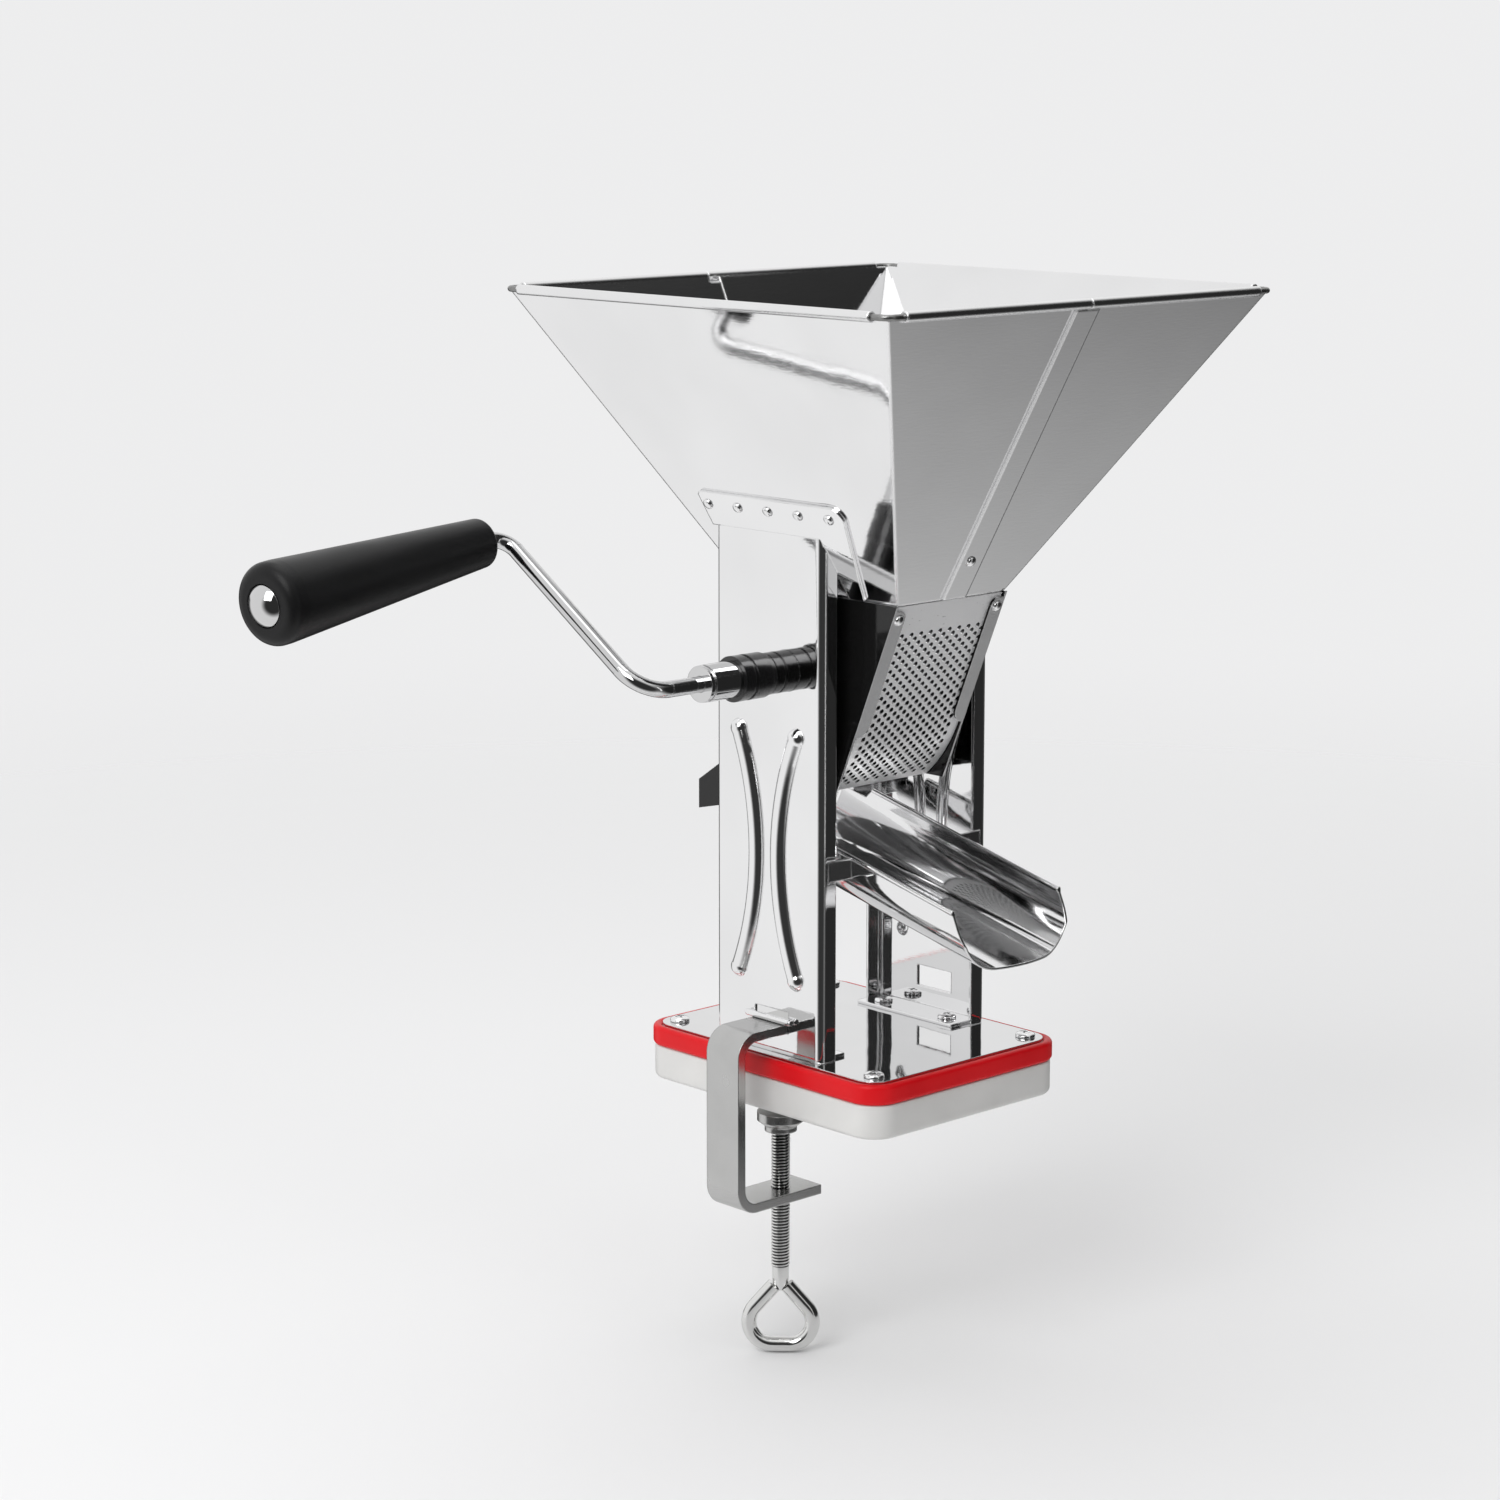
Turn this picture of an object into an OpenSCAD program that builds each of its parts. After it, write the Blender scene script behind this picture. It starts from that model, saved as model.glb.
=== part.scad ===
// Hand-cranked tomato strainer on a clamp-on base.
// A square hopper feeds a four-wing rotor that presses pulp on a perforated screen;
// juice leaves by the front chute and skins by the rear one.
// X is the crank axis with the crank at -X, the juice pours toward -Y, +Z is up.
// The origin is the centre of the base underside, which sits on the table.

/* [Hopper] */
// Outer side of the square rim, over the rolled edge
rim_w = 170; // [150:1:190]
// Height of the hopper from its neck to the rim
cone_h = 95; // [85:1:110]
// Inner width of the neck along the crank axis
neck_w = 45; // [42:0.5:48]
// Horizontal thickness of the sloping hopper sheet
hopper_t = 1; // [0.8:0.1:1.4]
// Diameter of the rolled bead round the rim
bead_d = 3.2; // [2.8:0.1:4]
// Diameter of the wire inside the bead
wire_d = 1.9; // [1.5:0.1:2.1]
// Distance of the hopper centre in front of the base centre
hopper_fore = 14.5; // [10:0.5:20]
// Width of the lapped seam at mid front and mid rear
lap_w = 9; // [6:0.5:14]

/* [Housing] */
// Height of the rotor axis above the table
axis_z = 140; // [136:0.5:144]
// Distance of the rotor axis in front of the base centre
axis_fore = 8; // [6:0.5:10]
// Tip radius of the rotor wings
rotor_r = 21.9; // [18:0.1:23]
// Gap between wing tips and screen
wing_gap = 0.5; // [0.3:0.1:1.5]
// Tilt of the flat part of the screen from the vertical, in degrees
screen_tilt = 23; // [18:1:28]
// Thickness of the screen and the housing sheets
sheet_t = 0.8; // [0.6:0.1:1.2]
// How far the flat part of the screen runs on below the rotor's nearest point
screen_drop = 13; // [8:0.5:16]
// Inner radius of the screen's curved lower part
curve_r = 50; // [40:1:60]
// Angle over which the screen's lower part curves in, in degrees
curve_sweep = 27; // [18:1:30]
// Diameter of one screen hole
hole_d = 1.7; // [1.3:0.1:2]
// Distance between neighbouring holes of one row of the screen
hole_pitch = 4.2; // [3.8:0.1:6]
// Width of the strips that hold the screen edges
strip_w = 5.4; // [4:0.2:7]
// Height of the skins chute's tip above the table
skins_z = 86.5; // [84:0.5:89]
// Distance of the skins chute tip behind the base centre
skins_reach = 47; // [42:1:55]
// Height of the skins chute side walls at the tip
skins_wall = 9.5; // [7:0.5:12]

/* [Side panels] */
// Distance between the outer faces of the two side panels
panel_gap = 74; // [70:0.5:80]
// Width of a side panel from front to rear
panel_w = 48; // [44:0.5:56]
// Sheet thickness of the side panels
panel_t = 1; // [0.8:0.1:1.5]
// Width of the panel edges that fold inward
return_w = 6.5; // [5:0.5:9]
// Outer radius of the panel folds
fold_r = 2.6; // [1.6:0.2:4]
// Height of the top flange up the hopper wall
flange_h = 12; // [9:0.5:14]
// Width of a stiffening rib
rib_w = 6.4; // [5:0.2:7.6]
// How far a rib stands out of the panel
rib_out = 2.4; // [1.6:0.1:2.8]
// Height from end to end of a rib
rib_h = 83; // [70:1:90]
// Distance between the ribs at their ends
rib_apart = 28.6; // [24:0.2:32]
// How far each rib bows toward the middle
rib_bow = 9.4; // [5:0.2:11]

/* [Juice chute] */
// Inner width of the juice chute at its top
chute_w = 46.4; // [40:0.4:50]
// Depth of the juice chute
chute_d = 16; // [12:0.5:20]
// Slope of the juice chute, in degrees
chute_slope = 13.1; // [10:0.1:18]
// Distance of the chute's top corners in front of the base centre
chute_reach = 67.5; // [55:0.5:80]
// Height of the chute's top edge where it leaves the panels
chute_z = 81.7; // [76:0.1:86]
// How far the lip of the chute runs ahead of its top corners
chute_lip = 11; // [4:0.5:16]
// Radius of the long bends of the chute
chute_r = 12.5; // [8:0.5:14]

/* [Base] */
// Length of the base along the crank axis
base_x = 86; // [80:1:100]
// Length of the base from front to rear
base_y = 107; // [96:1:120]
// Height of the base box under the red gasket
box_h = 11; // [8:0.5:16]
// Height of the red gasket
gasket_h = 6.5; // [5:0.5:9]
// Width of the gasket
gasket_w = 3; // [2.4:0.2:4.4]
// Corner radius of the base
base_r = 10; // [7:0.5:14]
// Thickness of the steel base plate
plate_t = 1; // [0.8:0.1:1.6]
// Distance of the corner screws from the base edges
screw_in = 9; // [8:0.5:11]

/* [Crank] */
// Diameter of the rotor shaft
shaft_d = 8; // [7:0.2:9]
// Diameter of the crank rod
rod_d = 5; // [4.4:0.2:5.6]
// Distance from the rotor axis to the handle end of the crank arm
arm_len = 76; // [60:1:90]
// Distance of the crank arm from the middle of the machine
arm_x = 96; // [92:1:105]
// Angle of the stored crank arm above the horizontal, in degrees
arm_angle = 32.6; // [0:0.2:60]
// Angle by which the grip pin leans in toward the axis, in degrees
pin_lean = 10; // [0:1:12]
// Bend radius of the rod at the hub
hub_bend = 11; // [8:0.5:14]
// Bend radius of the rod at the grip
grip_bend = 6; // [5:0.5:8]
// Length of the grip
grip_len = 92; // [80:1:105]
// Diameter of the grip at its small end
grip_d1 = 15.5; // [13:0.5:18]
// Diameter of the grip at its big end
grip_d2 = 25; // [21:0.5:29]
// Diameter of the hub collar next to the panel
collar_d = 13; // [12.6:0.2:15]
// Length of the hub collar
collar_len = 9; // [7:0.5:12]
// Diameter of the black coupling ring
ring_d = 14.2; // [13:0.2:17]
// Length of the black coupling ring
ring_len = 13; // [10:0.5:15]
// Diameter of the chrome sleeve
sleeve_d = 11.5; // [10.4:0.2:12.6]
// Length of the chrome sleeve
sleeve_len = 13; // [10:0.5:15]

/* [Clamp] */
// Width of the clamp bar
bar_w = 14.5; // [12:0.5:16]
// Thickness of the clamp bar
bar_t = 3; // [2.5:0.1:4]
// Distance of the outer face of the clamp bar from the base centre
bar_x = 58; // [54:0.5:64]
// Height of the underside of the upper arm
arm_z = 25; // [23:0.5:28]
// Clear depth from the table face down to the lower arm
jaw = 27; // [24:0.5:34]
// Distance of the clamp screw axis from the base centre
screw_x = 33; // [30:0.5:35]
// Distance of the clamp in front of the base centre
clamp_fore = 2; // [0:0.5:4]
// Diameter of the clamp screw
screw_d = 6; // [5:0.5:8]
// Length of the plain and threaded part below the pad
screw_len = 51; // [46:1:60]
// Diameter of the pressure pad
pad_d = 15; // [13:0.5:18]
// Height of the pressure pad
pad_h = 6.3; // [5:0.1:8]
// Gap between the pad and the table face at rest
pad_gap = 2.1; // [2.1:0.1:4]
// Outer width of the screw eye
eye_w = 25; // [21:0.5:28]
// Height of the screw eye
eye_h = 22; // [19:0.5:26]
// Diameter of the rod of the screw eye
eye_d = 4.8; // [4:0.2:5.4]

/* [Hidden] */

// Smoothness of the round parts
$fn = 48;
// Overrun of every cut
cut = 1;
// Seat gap between flat pieces that lie on each other
seat = 0.05;
// Radial gap of a running fit
run_fit = 0.06;
// Gap between pieces that turn past each other
side_gap = 0.3;
// A length far beyond the model, for half spaces
far_away = 400;

// Levels
plate_z = box_h + gasket_h - 0.5 * plate_t;
neck_z = axis_z + 22.5 * (cone_h / 95);
rim_z = neck_z + cone_h;
bead_r = bead_d / 2;
bead_z = rim_z - bead_r;

// Screen geometry, in a frame at the rotor axis tilted with the flat screen
screen_ri = rotor_r + wing_gap;
screen_ro = screen_ri + sheet_t;
// Height up the tilted frame at which the screen meets the neck
screen_top = (neck_z - axis_z + screen_ri * sin(screen_tilt)) / cos(screen_tilt);
// Blank margin of the screen under the neck
screen_margin = screen_top * 0.28;
// Distance of the strip faces from the rotor axis
strip_ro = screen_ro + seat + sheet_t;
// Function that carries a point of the tilted frame to the base frame, as [y, z]
function tip(y, z) = [
    -axis_fore + y * cos(screen_tilt) - z * sin(screen_tilt),
    axis_z + y * sin(screen_tilt) + z * cos(screen_tilt)];

// Hopper: inner edges at the neck and at the bead
neck_hx = neck_w / 2;
neck_front = tip(-screen_ri, screen_top)[0];
neck_rear = neck_hx * 1.045;
top_hx = rim_w / 2 - bead_d;
top_front = -hopper_fore - top_hx;
top_rear = -hopper_fore + top_hx;
wall_z = bead_z;
side_run = (top_hx - neck_hx) / (wall_z - neck_z);
front_run = (neck_front - top_front) / (wall_z - neck_z);
rear_run = (top_rear - neck_rear) / (wall_z - neck_z);
side_tilt = atan(side_run);
front_tilt = atan(front_run);
rear_tilt = atan(rear_run);
// Length of bead left open at each corner, so that the wire shows
bead_open = 2.5 * bead_d;

// Panels
panel_x = panel_gap / 2;
cheek_x = neck_hx + hopper_t;
panel_top = neck_z + (panel_x - cheek_x) / side_run;
foot_w = 2 * return_w;
// Front reach of the flange at its top and at the neck, beyond the panel edge
flange_front = 2.2 * return_w;
tail_front = 0.95 * return_w;
flange_rear = 0.08 * return_w;
// Distance of the ribs' upper ends under the hub collar
rib_clear = 11;
rib_mid = axis_z - collar_d / 2 - rib_clear - rib_h / 2;
rib_sag_r = (pow(rib_h / 2, 2) + pow(rib_bow, 2)) / (2 * rib_bow);
rib_r = rib_w / 2;
// Arc half angle of a rib
rib_half = asin((rib_h / 2 - rib_r) / rib_sag_r);
// Slot for the clamp arm
slot_w = bar_w + 2.5 * side_gap;
slot_h = bar_t * 2.3;
// Size of the ball that rounds a rib end, as a share of the rib's own radius
end_share = 1.05;
// Rivet sizes
rivet_d = 3;
rivet_head = 4.6;
rivet_rise = 1.1;

// Chute
chute_hw = chute_w / 2;
hem_d = 2 * sheet_t;
chute_back = panel_w / 2 + 2 * hem_d;
ear_h = 6.6;
ear_fit = 0.2;
// Undersides of the front and rear ears
ear_z = chute_z - ear_h;
ear_rear_z = ear_z + (panel_w - panel_t) * tan(chute_slope);

// Rotor
rotor_hl = neck_hx - side_gap;
core_d = 2.1 * shaft_d;
wing_t = 1.6;
wing_count = 4;
bush_d = 1.55 * shaft_d;
bush_flange_d = 2.4 * shaft_d;
bush_flange_t = 1.5;
shaft_far = panel_x + 2.5 * panel_t;
shaft_near = panel_x + collar_len + ring_len * 0.9;
hub_x = panel_x + side_gap;
ring_x = hub_x + collar_len + side_gap;
sleeve_x = ring_x + ring_len;

// Grip
grip_start = grip_bend * 1.75;
cap_d = grip_d2 * 0.5;
cap_sink = 2.2;

// Base
box_in = 0.2 * gasket_w;
upper_in = gasket_w + seat;
screw_head_d = 6.4;
screw_head_h = 1.6;
foot_screw_d = 3;

// Clamp
bar_bend = 2.6 * bar_t;
lower_z = -jaw;
arm_end = panel_x - 4 * bar_t;
tail_end = screw_x - 3.6 * bar_t;
pad_top = -pad_gap;
pad_z = pad_top - pad_h;
screw_top = pad_top - 0.4 * pad_h;
screw_low = pad_z - screw_len;
clamp_y = -clamp_fore;

// ---- shared shapes ----

module ring2d(ro, ri) {
    difference() {
        circle(r = ro);
        circle(r = ri);
    }
}

// Rectangle with round corners, centred, all arcs exact
module round_rect(x, y, r) {
    square([x - 2 * r, y], center = true);
    square([x, y - 2 * r], center = true);
    for (i = [-1, 1], j = [-1, 1])
        translate([i * (x / 2 - r), j * (y / 2 - r)]) circle(r = r);
}

// Half plane x > 0
module right_half() {
    translate([0, -far_away]) square([far_away, 2 * far_away]);
}

// Frame of the rotor axis: children are drawn in (y, z) about it and run along X
module along_axis(x0, x1) {
    translate([x0, -axis_fore, axis_z]) rotate([90, 0, 90])
        linear_extrude(height = x1 - x0) children();
}

module axis_rod(x0, x1, d) {
    translate([x0, -axis_fore, axis_z]) rotate([0, 90, 0]) cylinder(d = d, h = x1 - x0);
}

// Tilted frame of the flat screen
module screen_frame() {
    translate([0, -axis_fore, axis_z]) rotate([screen_tilt, 0, 0]) children();
}

// Frame of the hopper's +X wall: y and z in the wall, x out of it
module side_wall_frame() {
    translate([cheek_x, 0, neck_z]) rotate([0, side_tilt, 0]) children();
}

// Straight-sided funnel solid between two rectangles
module funnel(grow) {
    a = neck_hx + grow;
    b = top_hx + grow;
    polyhedron(points = [
            [-a, neck_front - grow, neck_z], [a, neck_front - grow, neck_z],
            [a, neck_rear + grow, neck_z], [-a, neck_rear + grow, neck_z],
            [-b, top_front - grow, wall_z], [b, top_front - grow, wall_z],
            [b, top_rear + grow, wall_z], [-b, top_rear + grow, wall_z]],
        faces = [[0, 1, 2, 3], [7, 6, 5, 4], [4, 5, 1, 0], [5, 6, 2, 1], [6, 7, 3, 2],
            [7, 4, 0, 3]]);
}

// Thin funnel: the sheet between two growths, open at both ends
module funnel_sheet(inner, outer) {
    difference() {
        funnel(outer);
        funnel_core(inner);
    }
}

// The hollow of the funnel, carried past both ends along its own slopes
module funnel_core(grow) {
    a = neck_hx + grow - cut * side_run;
    b = top_hx + grow + cut * side_run;
    nf = neck_front - grow + cut * front_run;
    nr = neck_rear + grow - cut * rear_run;
    tf = top_front - grow - cut * front_run;
    tr = top_rear + grow + cut * rear_run;
    polyhedron(points = [
            [-a, nf, neck_z - cut], [a, nf, neck_z - cut], [a, nr, neck_z - cut],
            [-a, nr, neck_z - cut], [-b, tf, wall_z + cut], [b, tf, wall_z + cut],
            [b, tr, wall_z + cut], [-b, tr, wall_z + cut]],
        faces = [[0, 1, 2, 3], [7, 6, 5, 4], [4, 5, 1, 0], [5, 6, 2, 1], [6, 7, 3, 2],
            [7, 4, 0, 3]]);
}

// Slab between two values of x
module slab(x0, x1) {
    translate([x0, -far_away, 0]) cube([x1 - x0, 2 * far_away, far_away]);
}

module bead_x(x0, x1, y) {
    translate([x0, y, bead_z]) rotate([0, 90, 0]) cylinder(d = bead_d, h = x1 - x0);
}

module bead_y(x, y0, y1) {
    translate([x, y1, bead_z]) rotate([90, 0, 0]) cylinder(d = bead_d, h = y1 - y0);
}

// Rod along a list of points in the local xy plane, with round bends. A fine ring
// joins each bend to its straight parts.
ring_half = 0.2;
ring_rise = 0.02;
ring_gap = 0.02;
function dir(a, b) = (b - a) / norm(b - a);
function turn(a, b, c) =
    let (u = dir(a, b), v = dir(b, c)) atan2(u[0] * v[1] - u[1] * v[0], u[0] * v[0] + u[1] * v[1]);
function bend_cut(a, b, c, r) = r * tan(abs(turn(a, b, c)) / 2);
module rod_run(a, b, d) {
    v = b - a;
    translate([a[0], a[1], 0]) rotate([0, 0, atan2(v[1], v[0])]) rotate([0, 90, 0])
        cylinder(d = d, h = norm(v));
}
module rod_bend(a, b, c, r, d) {
    t = turn(a, b, c);
    u = dir(a, b);
    s = sign(t);
    start = b - u * bend_cut(a, b, c, r);
    centre = start + s * r * [-u[1], u[0]];
    from = atan2(start[1] - centre[1], start[0] - centre[0]);
    translate([centre[0], centre[1], 0]) rotate([0, 0, s > 0 ? from : from + t])
        rotate_extrude(angle = abs(t)) translate([r, 0]) circle(d = d);
}
module bent_rod(p, r, d) {
    n = len(p);
    for (i = [0:n - 2]) {
        u = dir(p[i], p[i + 1]);
        c0 = i == 0 ? 0 : bend_cut(p[i - 1], p[i], p[i + 1], r[i]);
        c1 = i == n - 2 ? 0 : bend_cut(p[i], p[i + 1], p[i + 2], r[i + 1]);
        rod_run(p[i] + u * (c0 + (i == 0 ? 0 : ring_gap)),
            p[i + 1] - u * (c1 + (i == n - 2 ? 0 : ring_gap)), d);
    }
    for (i = [1:n - 2]) {
        rod_bend(p[i - 1], p[i], p[i + 1], r[i], d);
        k = bend_cut(p[i - 1], p[i], p[i + 1], r[i]);
        u = dir(p[i - 1], p[i]);
        v = dir(p[i], p[i + 1]);
        rod_run(p[i] - u * (k + ring_half), p[i] - u * (k - ring_half), d + 2 * ring_rise);
        rod_run(p[i] + v * (k - ring_half), p[i] + v * (k + ring_half), d + 2 * ring_rise);
    }
}

// Domed rivet along +x from a face at x = 0, with a shank that reaches back
module rivet(shank) {
    rotate([0, 90, 0]) {
        intersection() {
            translate([0, 0, rivet_rise - rivet_head * 0.75]) sphere(r = rivet_head * 0.75);
            cylinder(d = rivet_head, h = rivet_rise);
        }
        if (shank > 0)
            translate([0, 0, -shank]) cylinder(d = rivet_d * 0.7, h = shank);
    }
}

// ---- hopper ----

module hopper_wall(x0, x1) {
    intersection() {
        funnel_sheet(0, hopper_t);
        slab(x0, x1);
    }
}

bead_cx = rim_w / 2 - bead_r;
bead_fy = -hopper_fore - bead_cx;
bead_ry = -hopper_fore + bead_cx;
bead_stop = bead_cx + bead_r - bead_open;

module hopper_half_beads(x0, x1, sx) {
    difference() {
        union() {
            bead_x(x0, x1, bead_fy);
            bead_x(x0, x1, bead_ry);
            bead_y(sx * bead_cx, -hopper_fore - bead_stop, -hopper_fore + bead_stop);
        }
        wire_path(wire_d + 2 * seat);
    }
}

// Level at which the laps stop under the bead
lap_top = bead_z - bead_r - seat;
module under_bead() {
    translate([-rim_w, -rim_w, 0]) cube([2 * rim_w, 2 * rim_w, lap_top]);
}

module hopper_left() {
    color("gainsboro") difference() {
        union() {
            difference() {
                hopper_wall(-rim_w, lap_w / 2);
                translate([-seat, -rim_w, lap_top]) cube([rim_w, 2 * rim_w, rim_w]);
            }
            hopper_half_beads(-bead_stop, -seat, -1);
        }
        wire_path(wire_d + 2 * seat);
        seam_holes();
    }
}

module hopper_right() {
    color("gainsboro") difference() {
        union() {
            hopper_wall(lap_w / 2 + seat, rim_w);
            hopper_half_beads(seat, bead_stop, 1);
            // The lap lies outside the left half and joins its own sheet beyond it
            intersection() {
                funnel_sheet(hopper_t + seat, 2 * hopper_t);
                slab(-lap_w / 2, lap_w / 2 + hopper_t);
                under_bead();
            }
            intersection() {
                funnel_sheet(0, 2 * hopper_t);
                slab(lap_w / 2 + seat, lap_w / 2 + hopper_t);
                under_bead();
            }
        }
        wire_path(wire_d + 2 * seat);
        seam_holes();
    }
}

seam_shares = [0.13];
module at_seams() {
    for (k = seam_shares) {
        up = k * cone_h;
        translate([0, neck_front - up * front_run - 2 * hopper_t, neck_z + up])
            rotate([0, 0, -90]) rotate([0, front_tilt, 0]) children();
        translate([0, neck_rear + up * rear_run + 2 * hopper_t, neck_z + up])
            rotate([0, 0, 90]) rotate([0, rear_tilt, 0]) children();
    }
}
module seam_holes() {
    at_seams() translate([-3 * hopper_t, 0, 0]) rotate([0, 90, 0])
        cylinder(d = rivet_d * 0.7 + 2 * seat, h = 6 * hopper_t);
}
module seam_rivets() {
    color("silver") at_seams() translate([seat, 0, 0]) rivet(1.8 * hopper_t);
}

// Wire loop that the bead is rolled round, with small corner bends
module wire_path(d) {
    c = bead_cx;
    r = bead_d;
    p = [[0, -c], [c, -c], [c, c], [-c, c], [-c, -c], [0, -c]];
    translate([0, -hopper_fore, bead_z]) {
        bent_rod(p, [r, r, r, r, r, r], d);
    }
}
module rim_wire() {
    color("silver") wire_path(wire_d);
}

// ---- side panels ----

// Channel section of a panel, seen from above, for the +X side
module panel_section() {
    w = 3 * return_w;
    intersection() {
        translate([panel_x - w / 2, 0]) difference() {
            round_rect(w, panel_w, fold_r);
            round_rect(w - 2 * panel_t, panel_w - 2 * panel_t, fold_r - panel_t);
        }
        translate([panel_x - return_w, -panel_w]) square([return_w + cut, 2 * panel_w]);
    }
}

// One bowed rib: solid of radius r about its centre line
module rib_line(r) {
    sink = rib_r - rib_out;
    for (s = [-1, 1])
        translate([panel_x - sink, s * (rib_apart / 2 - rib_bow + rib_sag_r), rib_mid])
            rotate([0, 90, 0]) rotate([0, 0, s > 0 ? -90 : 90]) {
                rotate([0, 0, -rib_half]) rotate_extrude(angle = 2 * rib_half)
                    translate([rib_sag_r, 0]) circle(r = r);
                for (e = [-1, 1])
                    rotate([0, 0, e * rib_half]) translate([rib_sag_r, 0, 0])
                        sphere(r = r * end_share);
            }
}

// Everything below the hopper's sloping side wall
module under_side_wall() {
    side_wall_frame() translate([-far_away, -far_away, -far_away / 2])
        cube([far_away - 2 * seat, 2 * far_away, far_away]);
}

module panel() {
    difference() {
        union() {
            translate([0, 0, plate_z + plate_t]) linear_extrude(height = neck_z - plate_z)
                panel_section();
            intersection() {
                rib_line(rib_r);
                translate([panel_x - panel_t, -panel_w, 0]) cube([rib_w, 2 * panel_w, neck_z]);
            }
            // Foot that folds inward over the base plate
            translate([panel_x - foot_w, -panel_w / 2 + fold_r, plate_z + plate_t])
                cube([foot_w - panel_t, panel_w - 2 * fold_r, panel_t]);
        }
        intersection() {
            rib_line(rib_r - panel_t);
            translate([panel_x - panel_t - cut, -panel_w, 0])
                cube([rib_w, 2 * panel_w, neck_z]);
        }
        // Hub hole
        translate([0, -axis_fore, axis_z]) rotate([0, 90, 0])
            cylinder(d = bush_d + 2 * seat, h = panel_x + cut);
        // Slot for the clamp arm
        translate([panel_x - panel_t - cut, clamp_y - slot_w / 2, arm_z])
            cube([panel_t + 2 * cut, slot_w, slot_h]);
        // Notches that take the ears of the juice chute
        for (e = [0, 1])
            translate([panel_x - return_w - cut, (e == 0 ? -panel_w / 2 : panel_w / 2 - panel_t) - cut,
                (e == 0 ? ear_z : ear_rear_z) - ear_fit])
                cube([return_w / 2 + cut, panel_t + 2 * cut, ear_h + 2 * ear_fit]);
        foot_holes();
    }
    panel_head();
}

// Upper end of the panel, cut to the slope of the hopper, and its flange
module panel_head() {
    difference() {
        translate([0, 0, neck_z]) linear_extrude(height = cone_h / 2) panel_section();
        side_wall_frame() translate([-far_away + seat, -far_away, -far_away / 2])
            cube([far_away, 2 * far_away, far_away]);
    }
    side_wall_frame() translate([seat, 0, 0]) difference() {
        rotate([90, 0, 90]) linear_extrude(height = panel_t) flange_outline();
        flange_at() rotate([0, 90, 0]) translate([0, 0, -cut])
            cylinder(d = rivet_d * 0.7 + 2 * seat, h = panel_t + 2 * cut);
    }
}

// Distance up the wall frame at which the panel meets the wall
panel_up = (panel_x - cheek_x) / sin(side_tilt);
module flange_outline() {
    y0 = -panel_w / 2 - flange_front;
    y1 = panel_w / 2 + flange_rear;
    yt = -panel_w / 2 - tail_front;
    ye = -panel_w / 2 + panel_t / 2;
    v = panel_up + flange_h;
    r = flange_h * 0.4;
    // Flange and the tail that runs down beside the front fold to the neck
    polygon([[y1, panel_up - panel_t], [y1, v - panel_t], [y1 - panel_t, v], [y0 + r, v],
        [y0, v - r], [yt, panel_t], [ye, panel_t], [ye, panel_up - panel_t]]);
    translate([y0 + r, v - r]) circle(r = r);
}

// Rivets of the flange, one row
flange_rivet_count = 5;
module flange_at() {
    y0 = -panel_w / 2 - flange_front + flange_h * 0.53;
    y1 = panel_w / 2 - rivet_head / 2;
    for (k = [0:flange_rivet_count - 1])
        translate([0, y1 - k * (y1 - y0) / (flange_rivet_count - 1), panel_up + flange_h * 0.62])
            children();
}

module panel_far() {
    color("lightgray") panel();
}
module panel_near() {
    color("lightgray") mirror([1, 0, 0]) panel();
}

module flange_rivets() {
    color("silver") for (m = [0, 1])
        mirror([m, 0, 0]) side_wall_frame()
            translate([panel_t + 2 * seat, 0, 0]) flange_at() rivet(panel_t);
}

foot_shares = [-0.3, 0.3];
module at_feet() {
    for (k = foot_shares)
        translate([panel_x - foot_w * 0.6, k * panel_w, plate_z + plate_t]) children();
}
module foot_holes() {
    at_feet() translate([0, 0, -cut])
        cylinder(d = foot_screw_d + 2 * seat, h = panel_t + 2 * cut);
}
module foot_screws() {
    color("silver") for (m = [0, 1])
        mirror([m, 0, 0]) at_feet() {
            translate([0, 0, panel_t + seat]) cylinder(d = 2 * foot_screw_d, h = screw_head_h);
            translate([0, 0, -foot_screw_d]) cylinder(d = foot_screw_d, h = foot_screw_d + panel_t + 2 * seat);
        }
}

// ---- housing ----

// Lower corners of the cheek plates, at the front and at the rear
cheek_low = axis_z - 1.8 * screen_ri;
cheek_rear = axis_z - 1.25 * screen_ri;
// Place up the tilted frame of a height on the strips' outer face, and its y
function front_up(z) = (z - axis_z + strip_ro * sin(screen_tilt)) / cos(screen_tilt);
function front_y(z) = tip(-strip_ro, front_up(z))[0];
// The way back from the base frame to the tilted one
function untip(y, z) = [
    (y + axis_fore) * cos(screen_tilt) + (z - axis_z) * sin(screen_tilt),
    -(y + axis_fore) * sin(screen_tilt) + (z - axis_z) * cos(screen_tilt)];

module cheek() {
    difference() {
        union() {
            // Plate beside the rotor
            screen_frame() translate([cheek_x + seat, 0, 0]) rotate([90, 0, 90])
                linear_extrude(height = sheet_t) polygon([
                    [-strip_ro, front_up(neck_z)], [-strip_ro, front_up(cheek_low)],
                    untip(front_y(cheek_low) + screen_ri * 0.8, cheek_low),
                    untip(neck_rear, cheek_rear),
                    untip(neck_rear + hopper_t, neck_z)]);
            // Strip that folds in over the edge of the screen
            screen_frame() rotate([90, 0, 0])
                translate([0, 0, screen_ro + seat]) linear_extrude(height = sheet_t)
                strip_outline();
        }
        // Bush hole
        translate([0, -axis_fore, axis_z]) rotate([0, 90, 0])
            cylinder(d = bush_d + 2 * seat, h = panel_x);
        housing_at() translate([0, 0, -cut])
            cylinder(d = rivet_d * 0.7 + 2 * seat, h = sheet_t + 2 * cut);
    }
}

strip_low = strip_w - screen_drop;
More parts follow.
